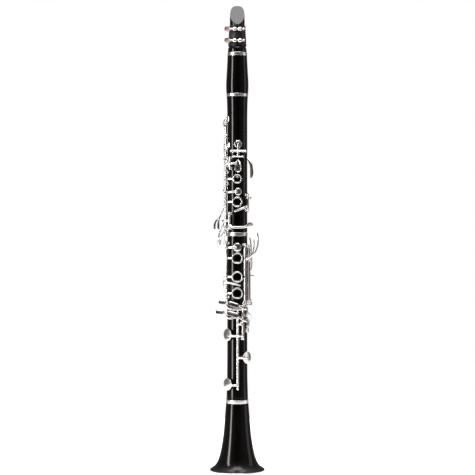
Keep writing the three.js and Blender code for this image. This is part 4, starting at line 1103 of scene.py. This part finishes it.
F_SHARP = angle_at(8)
hinged_key("f_sharp", F_SHARP, [190.4, 236.4], [192.8, 234], [
    arm([(F_SHARP, 18.8, 194.6), (8, 21.6, 194.4), (-10, 21.8, 194.4), (-34, 20.8, 195),
         (-52, LARGE_TOP, 195.8)]),
    arm([(F_SHARP, 18.9, 232.4), spot(2, -20.9, 232.2), spot(-8, -20.2, 232.4), spot(-14, -19, 235),
         spot(-17.2, -18.4, 240), spot(-21.4, -17.8, 242)], width=2.6),
    touch(-21.2, -18, 242.5, 5.9, 3.1, 8, 8),
], [(-50, 195.8, LARGE_PAD_R, LARGE_OPEN)])

RIGHT_ROD = angle_at(13.6)
pillars("right_rod_pillars", RIGHT_ROD, [222.8, 237], more=[
    rod(at(RIGHT_ROD, HINGE_R, 199.5), at(RIGHT_ROD, HINGE_R, 223), 0.9, 20),
    plate(slot_outline(0, -1.6, 0, 1.6, 2.6), 5.4, frame_at(RIGHT_ROD, BODY_R + 0.05, 202.6), 0.5)])
key_piece("a_flat_key", [
    z_sleeve(RIGHT_ROD, 225.2, 234.6),
    arm([(RIGHT_ROD, 18.9, 227.2), (63, 20.8, 223.4), (76, 20, 216.6), (83, CUP_TOP_R - 0.2, 212)]),
    arm([(RIGHT_ROD, 18.9, 232), spot(10.6, -21.4, 233), spot(5, -22.6, 236.4), spot(-3, -22.4, 238.8)]),
    touch(-5.8, -22.2, 239.3, 8.6, 3.3, 17),
], [(84, 212, 6.4)])
key_piece("f_c_lever", [
    z_sleeve(RIGHT_ROD, 207.6, 220.4),
    arm([(RIGHT_ROD, 18.9, 215), spot(9.4, -21.6, 216.6), spot(4, -22.4, 220.4), spot(-3, -22.2, 223.6)]),
    touch(-6.4, -22, 225.6, 8.8, 3.4, 17),
    arm([spot(8, -22.1, 217), spot(5.4, -22.2, 213.6), spot(4.4, -22.2, 209.6)], width=2.6, thickness=1.4)])

LEVER_Z0 = 243
LEVER_POST_Z = LEVER_Z0 - 2.4
LEVER_FOOT_Z = 246
LEVER_TUBE_TOP = 18.9
# Name, hinge angle, top of the tube, height of the bar's root, the bar, and the foot.
LEVERS = [
    ("left_f_sharp_lever", angle_at(10.9), 321.4, 302,
     [(52, 22.4, 306), spot(24.4, -14, 312), spot(28.8, -13, 322), spot(29.6, -12.6, 332, 4),
      spot(27.4, -13.2, 341, 6.4)],
     [(30, 20.8, 244), (27, 20.8, 238.6, 2.4, 1.2)]),
    ("left_e_lever", angle_at(14.8), 318.6, 300,
     [(66, 21.8, 305), spot(22.4, -8, 313), spot(23.8, -7, 323, 4), spot(23.2, -6.6, 332, 5)],
     [(66, 20.8, 243), (68, 20.8, 236.6, 2.4, 1.2)]),
    ("left_f_lever", 76, 318.6, 286,
     [(82, 20.8, 293), spot(20.4, -2, 308), spot(19.6, -1, 324, 4), spot(17.6, -1, 335, 5)],
     [(84, 20.6, 243), (86, 20.6, 236.6, 2.4, 1.2)]),
]
lever_posts = []
lever_screws = []
for name, angle, top, bar_z, bar, foot in LEVERS:
    ends = [LEVER_POST_Z, top + 2.6]
    lever_posts += z_posts(angle, ends)
    low, high = at(angle, HINGE_R, ends[0]), at(angle, HINGE_R, ends[1])
    lever_screws += [(low, high), (high, low)]
    key_piece(name, [
        z_sleeve(angle, LEVER_Z0, top),
        arm([(angle, LEVER_TUBE_TOP, bar_z), *bar]),
        arm([(angle, LEVER_TUBE_TOP, LEVER_FOOT_Z), *foot])])
for (_, a, *_), (_, b, *_) in zip(LEVERS, LEVERS[1:]):
    strap = [(a, 15, LEVER_POST_Z), ((a + b) / 2, 15.1, LEVER_POST_Z), (b, 15, LEVER_POST_Z)]
    lever_posts.append(arm(strap, width=3.4, thickness=1))
piece("left_lever_pillars", "instrument", "steel", lever_posts, "silver")
slots("left_lever_screws", lever_screws)
extra("needle_springs", "instrument", "steel", springs, "blued")

# ------------ small fixed pieces

THUMB_HOLE_Z = 424
backwards = Matrix.Rotation(math.radians(-90), 4, "X")
backwards.translation = Vector((0, 0, THUMB_HOLE_Z))
piece("thumb_tube", "instrument", "silver", [moved(ring(3.1, 4.1, 9.5, BODY_R + 1.1, 48), backwards)])
register_lining = moved(ring(0.9, 1.5, 4.6, BODY_R, 32, 0.2), frame_at(-60, 0, 503))
piece("register_tube", "instrument", "silver", [register_lining])
REST_ANGLE = 166
REST_Z = 272
piece("thumb_rest", "instrument", "silver", [
    plate(slot_outline(0, -9, 0, 9, 4.4), 1.6, frame_at(REST_ANGLE, BODY_R + GAP, REST_Z), 0.5),
    plate(slot_outline(6, 19.9, 19, 22.5, 5), 2.2, Matrix.Translation((0, 0, 278)), 0.6)])
screw_head = turned([(0, -0.3), (2.1, -0.3), (2.1, 0.1), (1.6, 0.6), (0.8, 0.8), (0, 0.85)], 28)
rest_screws = [moved(screw_head, frame_at(REST_ANGLE, BODY_R + GAP + 1.5, REST_Z + dz)) for dz in (-7, 0)]
extra("thumb_rest_screws", "instrument", "steel", rest_screws)

# ------------ floor, lights and camera


def stage_material():
    """Plain pale floor with a glow of its own, so that it meets the pale surroundings."""
    material, tree, surface = shader("floor", (0.92, 0.92, 0.92), 0.7)
    preset(surface, {"Emission Color": (1, 1, 1, 1), "Emission Strength": 0.75})
    varied(tree, surface, noise(tree, 3, 3), 0.65, 0.75)
    return material


FLOOR_R = 0.55
FLOOR_DROP = 0.0004
work = bmesh.new()
bmesh.ops.create_circle(work, cap_ends=True, segments=96, radius=FLOOR_R)
floor_mesh = bpy.data.meshes.new("floor")
work.to_mesh(floor_mesh)
work.free()
floor_mesh.materials.append(stage_material())
floor = placed("floor", floor_mesh)
floor.location = (0, 0, -FLOOR_DROP)

world = bpy.data.worlds.new("studio")
bpy.context.scene.world = world
world.use_nodes = True
tree = world.node_tree
tree.nodes.clear()
output = added(tree, "OutputWorld")
mix = added(tree, "MixShader")
path = added(tree, "LightPath")
seen = added(tree, "Background", {"Color": (1, 1, 1, 1)})
lighting = added(tree, "Background")
direction = added(tree, "TexCoord")
split = added(tree, "SeparateXYZ")
tree.links.new(direction.outputs["Generated"], split.inputs["Vector"])
# The room is dark level with the instrument and pale above it, so the wood stays black and the keys shine.
glow = ramp(tree, split.outputs["Z"], [
    (0.0, (0.11, 0.1, 0.1)), (0.42, (0.1, 0.095, 0.093)), (0.72, (0.26, 0.25, 0.25)),
    (1.0, (1.0, 0.98, 0.98))])
tree.links.new(glow, lighting.inputs["Color"])
# A dark curtain hangs in front, so flat polished tops show dark middles inside bright edges.
ranged(tree, split.outputs["Y"], lighting.inputs["Strength"], (-0.94, -0.7), (0.12, 1.5))
for source, target in (
        (path.outputs["Is Camera Ray"], mix.inputs["Fac"]), (lighting.outputs["Background"], mix.inputs[1]),
        (seen.outputs["Background"], mix.inputs[2]), (mix.outputs["Shader"], output.inputs["Surface"])):
    tree.links.new(source, target)

AIM = Vector((0, 0, 0.334))


def softbox(name, azimuth, elevation, distance, width, height, radiance, color=(1, 1, 1)):
    """Area light round the instrument, facing its middle; azimuth 0 is in front and 90 on the right."""
    light = bpy.data.lights.new(name, "AREA")
    light.shape = "RECTANGLE"
    light.size = width
    light.size_y = height
    light.energy = 4 * width * height * radiance
    light.color = color
    made = placed(name, light)
    a, e = math.radians(azimuth), math.radians(elevation)
    way = Vector((math.sin(a) * math.cos(e), -math.cos(a) * math.cos(e), math.sin(e)))
    made.location = AIM + distance * way
    made.rotation_euler = (AIM - made.location).to_track_quat("-Z", "Y").to_euler()


softbox("strip_left", -58, 0, 1.6, 0.32, 2.2, 11)
softbox("panel_right", 90, 0, 1.8, 0.7, 2.2, 0.75)
softbox("panel_top", 0, 64, 1.7, 1.0, 0.9, 3.2)
softbox("panel_back", 180, 35, 2.0, 1.4, 1.2, 1.5)
softbox("panel_zenith", 0, 88, 1.6, 1.3, 1.3, 2, (1, 0.92, 0.94))

CAMERA_PLACE = (0.0003, -1.89, 0.3342)
camera_data = bpy.data.cameras.new("camera")
camera_data.lens = 100
camera_data.sensor_width = 36
camera = placed("camera", camera_data)
camera.location = CAMERA_PLACE
camera.rotation_euler = (math.radians(90), 0, 0)
bpy.context.scene.camera = camera
bpy.context.scene.view_settings.view_transform = "Standard"
